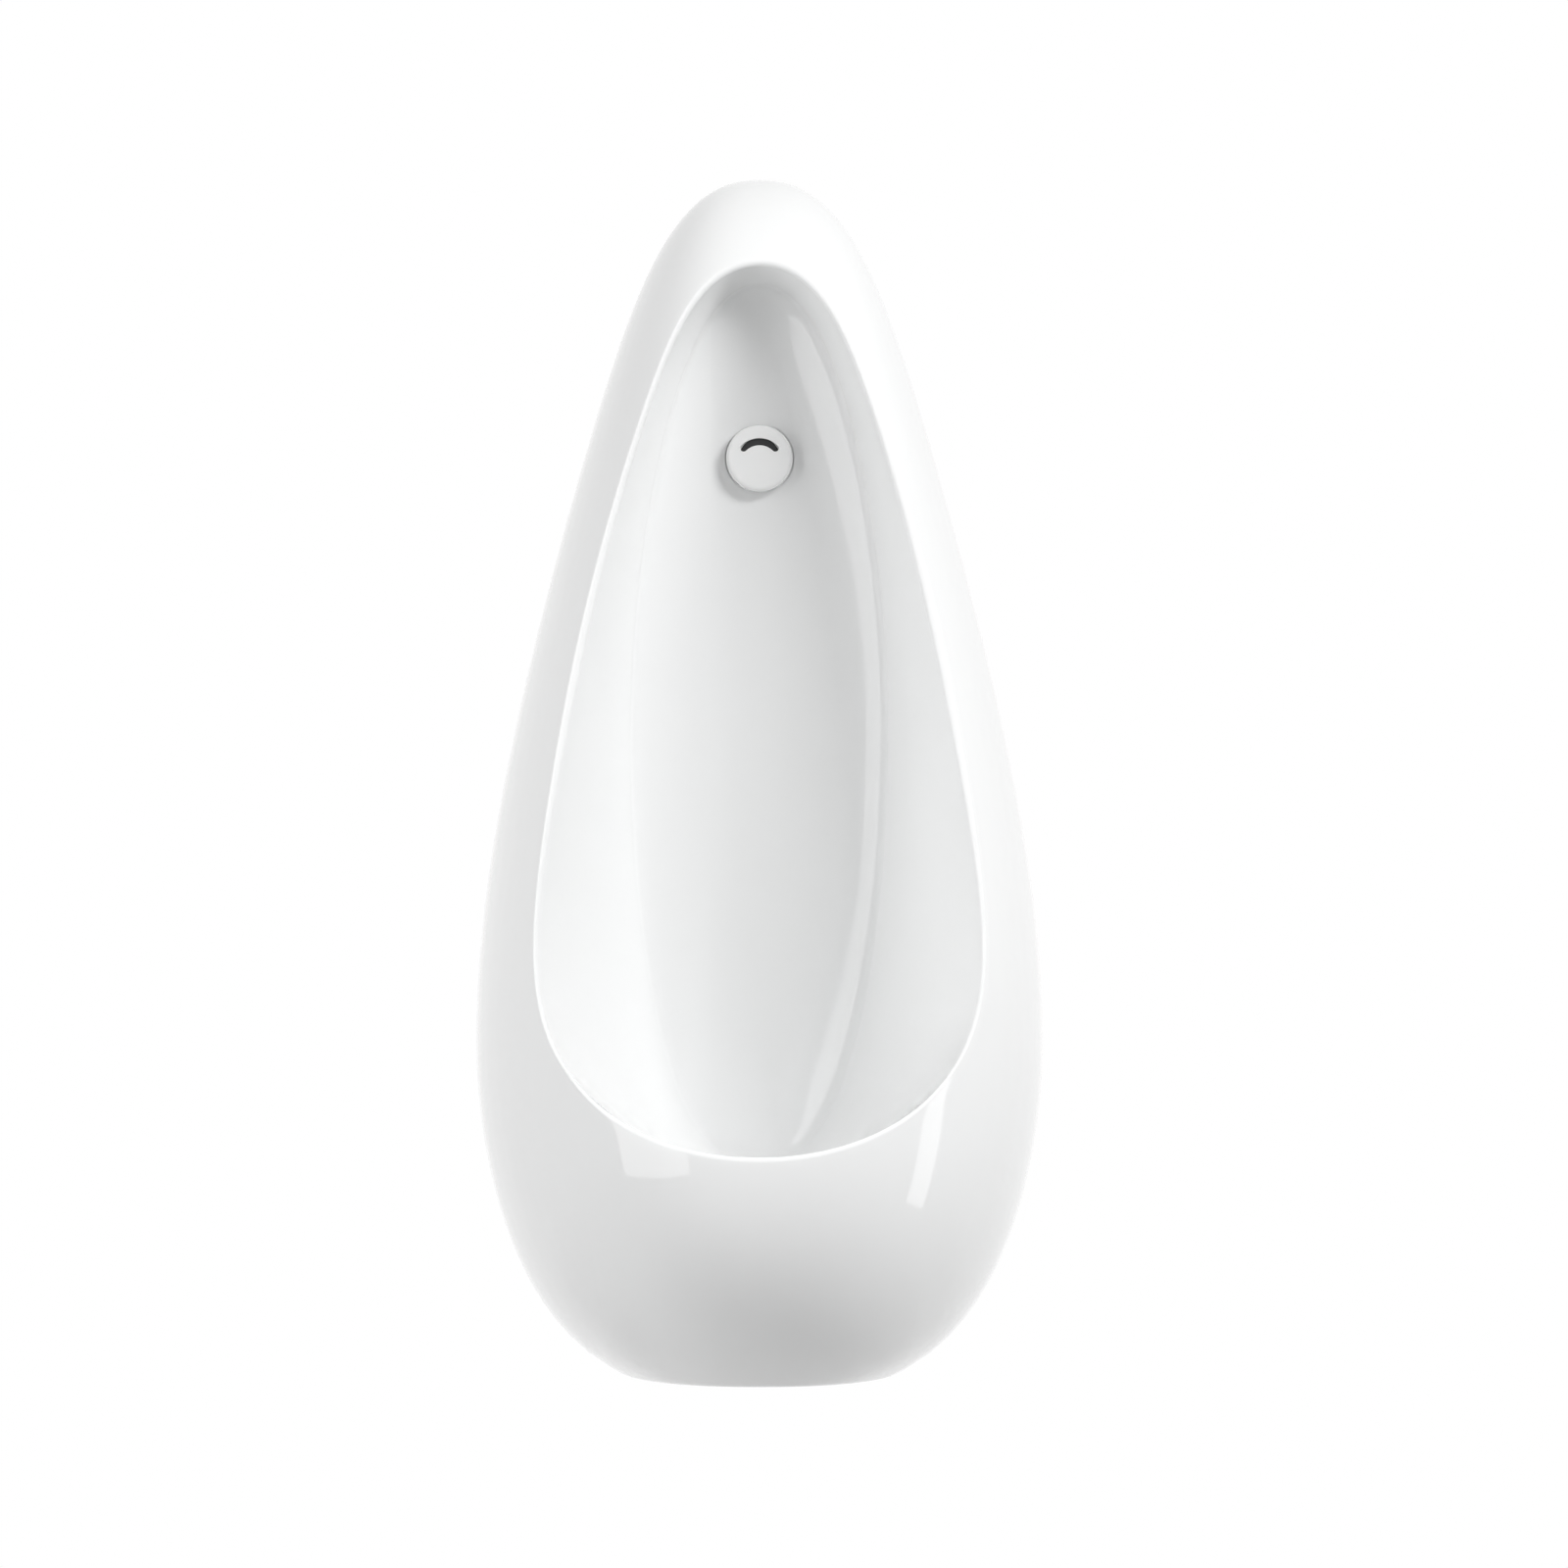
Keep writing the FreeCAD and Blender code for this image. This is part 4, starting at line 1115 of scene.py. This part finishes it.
def hook_mesh(x):
    outline = strip_outline()
    count = len(outline)
    points = [Vector((x + side_at, -point.x, point.y - HANG_LINE)) * MM
              for side_at in (-STRIP_HALF, STRIP_HALF) for point in outline]
    faces = []
    for index in range(count // 2 - 1):
        a, b = index, count - 1 - index
        faces.append((a, a + 1, b - 1, b))
        faces.append((count + a, count + b, count + b - 1, count + a + 1))
    return mesh_of("hook", points, faces + sides(count), zinc)


# Each screw hole is a little wider at its outer mouth
SCREW_HOLE = [(0.0, -1.0, 0.0), (3.5, -1.0, 0.0), (3.5, 2.4, 0.0), (4.1, 3.1, 0.0), (4.1, 4.0, 0.0),
              (0.0, 4.0, 0.0)]
HOOK_X = 42.0
SCREWS_UP = (545.0, 570.0)
for hand_name, x in (("left", -HOOK_X), ("right", HOOK_X)):
    hook = add_object(f"hook_{hand_name}", hook_mesh(x))
    cut_from(hook, *[turned("screw hole", SCREW_HOLE, out_from(x, up), zinc, steps=32) for up in SCREWS_UP])
    settle(hook, "bowl", "plated_steel", f"hanger_{hand_name}")
    finish_nodes(black_plastic, f"hanger_pad_{hand_name}", f"fixing_sleeve_{hand_name}")


# ---------- Studio ----------
# A pale floor below the hung bowl, white all round, soft lamps, and the camera.
FLOOR_DROP = -1.05
FADE_START = 0.5
FADE_END = 1.9
FLOOR_HALF = 3.0
floor_mesh = bpy.data.meshes.new("floor")
floor_mesh.from_pydata([(x * FLOOR_HALF, y * FLOOR_HALF, FLOOR_DROP)
                        for x, y in ((-1, -1), (1, -1), (1, 1), (-1, 1))], [], [(0, 1, 2, 3)])
floor = add_object("floor", floor_mesh)


def seen_by(start):
    """1 for the rays that show a thing to the eye or in a reflection, 0 for those that light things."""
    rays = start.add("ShaderNodeLightPath")
    seen = rays.also("Is Camera Ray").at_least(rays.also("Is Glossy Ray"))
    return seen.at_least(rays.also("Is Transmission Ray"))


floor_paint, floor_shader = new_material("studio floor")
floor_seen = seen_by(floor_shader)
floor_shader.feed({"Base Color": blend_colours(floor_seen, (0.45, 0.45, 0.45, 1), (0.93, 0.93, 0.93, 1)),
                   "Roughness": 0.9})
# Away from the bowl the floor fades into the white of the room
floor_x, floor_y, _ = object_place(floor_shader).parts()
from_bowl = root(floor_x * floor_x + floor_y * floor_y)
fade = floor_seen * limit((from_bowl - FADE_START) / (FADE_END - FADE_START))
glow = floor_shader.add("ShaderNodeEmission", {"Color": (1, 1, 1, 1), "Strength": 1.0})
faded = floor_shader.add("ShaderNodeMixShader", {0: fade, 1: floor_shader, 2: glow})
floor_out = next(node for node in floor_paint.node_tree.nodes if node.type == "OUTPUT_MATERIAL")
faded.feed({"Surface": faded}, floor_out)
floor_mesh.materials.append(floor_paint)

# The room is white to the eye; the light it gives comes from above, and a little from the right
TOP_LIGHT = 0.72
RIGHT_LIGHT = 0.1
world = bpy.data.worlds.new("studio")
bpy.context.scene.world = world
world.use_nodes = True
world.node_tree.nodes.clear()
sky = Wire(world.node_tree)
look_x, _, look_z = sky.add("ShaderNodeTexCoord").also("Generated").parts()
given = look_z.at_least(0.0) * TOP_LIGHT + look_x.at_least(0.0) * RIGHT_LIGHT
backdrop = sky.add("ShaderNodeBackground", {
    "Color": (1, 1, 1, 1), "Strength": either(seen_by(sky), 1.0, given)})
sky.add("ShaderNodeOutputWorld", {"Surface": backdrop})

LAMP_AIM = Vector((0.0, -0.15, -0.25))


def lamp(name, bearing, rise, away, wide, tall, radiance, mirrored=True):
    """A soft rectangular lamp, aimed at the bowl.

    Its bearing to the right of the front and its rise are in degrees, the other sizes in metres.
    """
    light = bpy.data.lights.new(name, "AREA")
    light.shape = "RECTANGLE"
    light.size = wide
    light.size_y = tall
    light.energy = radiance * math.pi * wide * tall
    holder = add_object(name, light)
    round_by, up_by = math.radians(bearing), math.radians(rise)
    holder.location = LAMP_AIM + away * Vector((
        math.sin(round_by) * math.cos(up_by), -math.cos(round_by) * math.cos(up_by), math.sin(up_by)))
    holder.rotation_euler = (LAMP_AIM - holder.location).to_track_quat("-Z", "Y").to_euler()
    holder.visible_camera = False
    holder.visible_glossy = mirrored


lamp("key lamp", 39, 31, 2.5, 0.9, 0.45, 22.6, mirrored=False)
lamp("key lamp wing", 55, 31, 2.5, 0.5, 0.45, 20.0, mirrored=False)
lamp("left soft box", -56, 8, 1.7, 1.45, 1.9, 1.95)
lamp("right strip", 96, -6, 1.7, 0.35, 1.5, 1.8)
lamp("back lamp", 180, 8, 3.0, 1.2, 1.2, 9.0, mirrored=False)

camera_data = bpy.data.cameras.new("camera")
camera_data.lens = 233.3
camera_data.sensor_width = 36.0
camera_data.shift_x = 25 / 1600
camera = add_object("camera", camera_data)
camera.location = (0.0, -6.0, -0.2414)
camera.rotation_euler = (math.pi / 2, 0, 0)
bpy.context.scene.camera = camera
bpy.context.scene.view_settings.view_transform = "Standard"
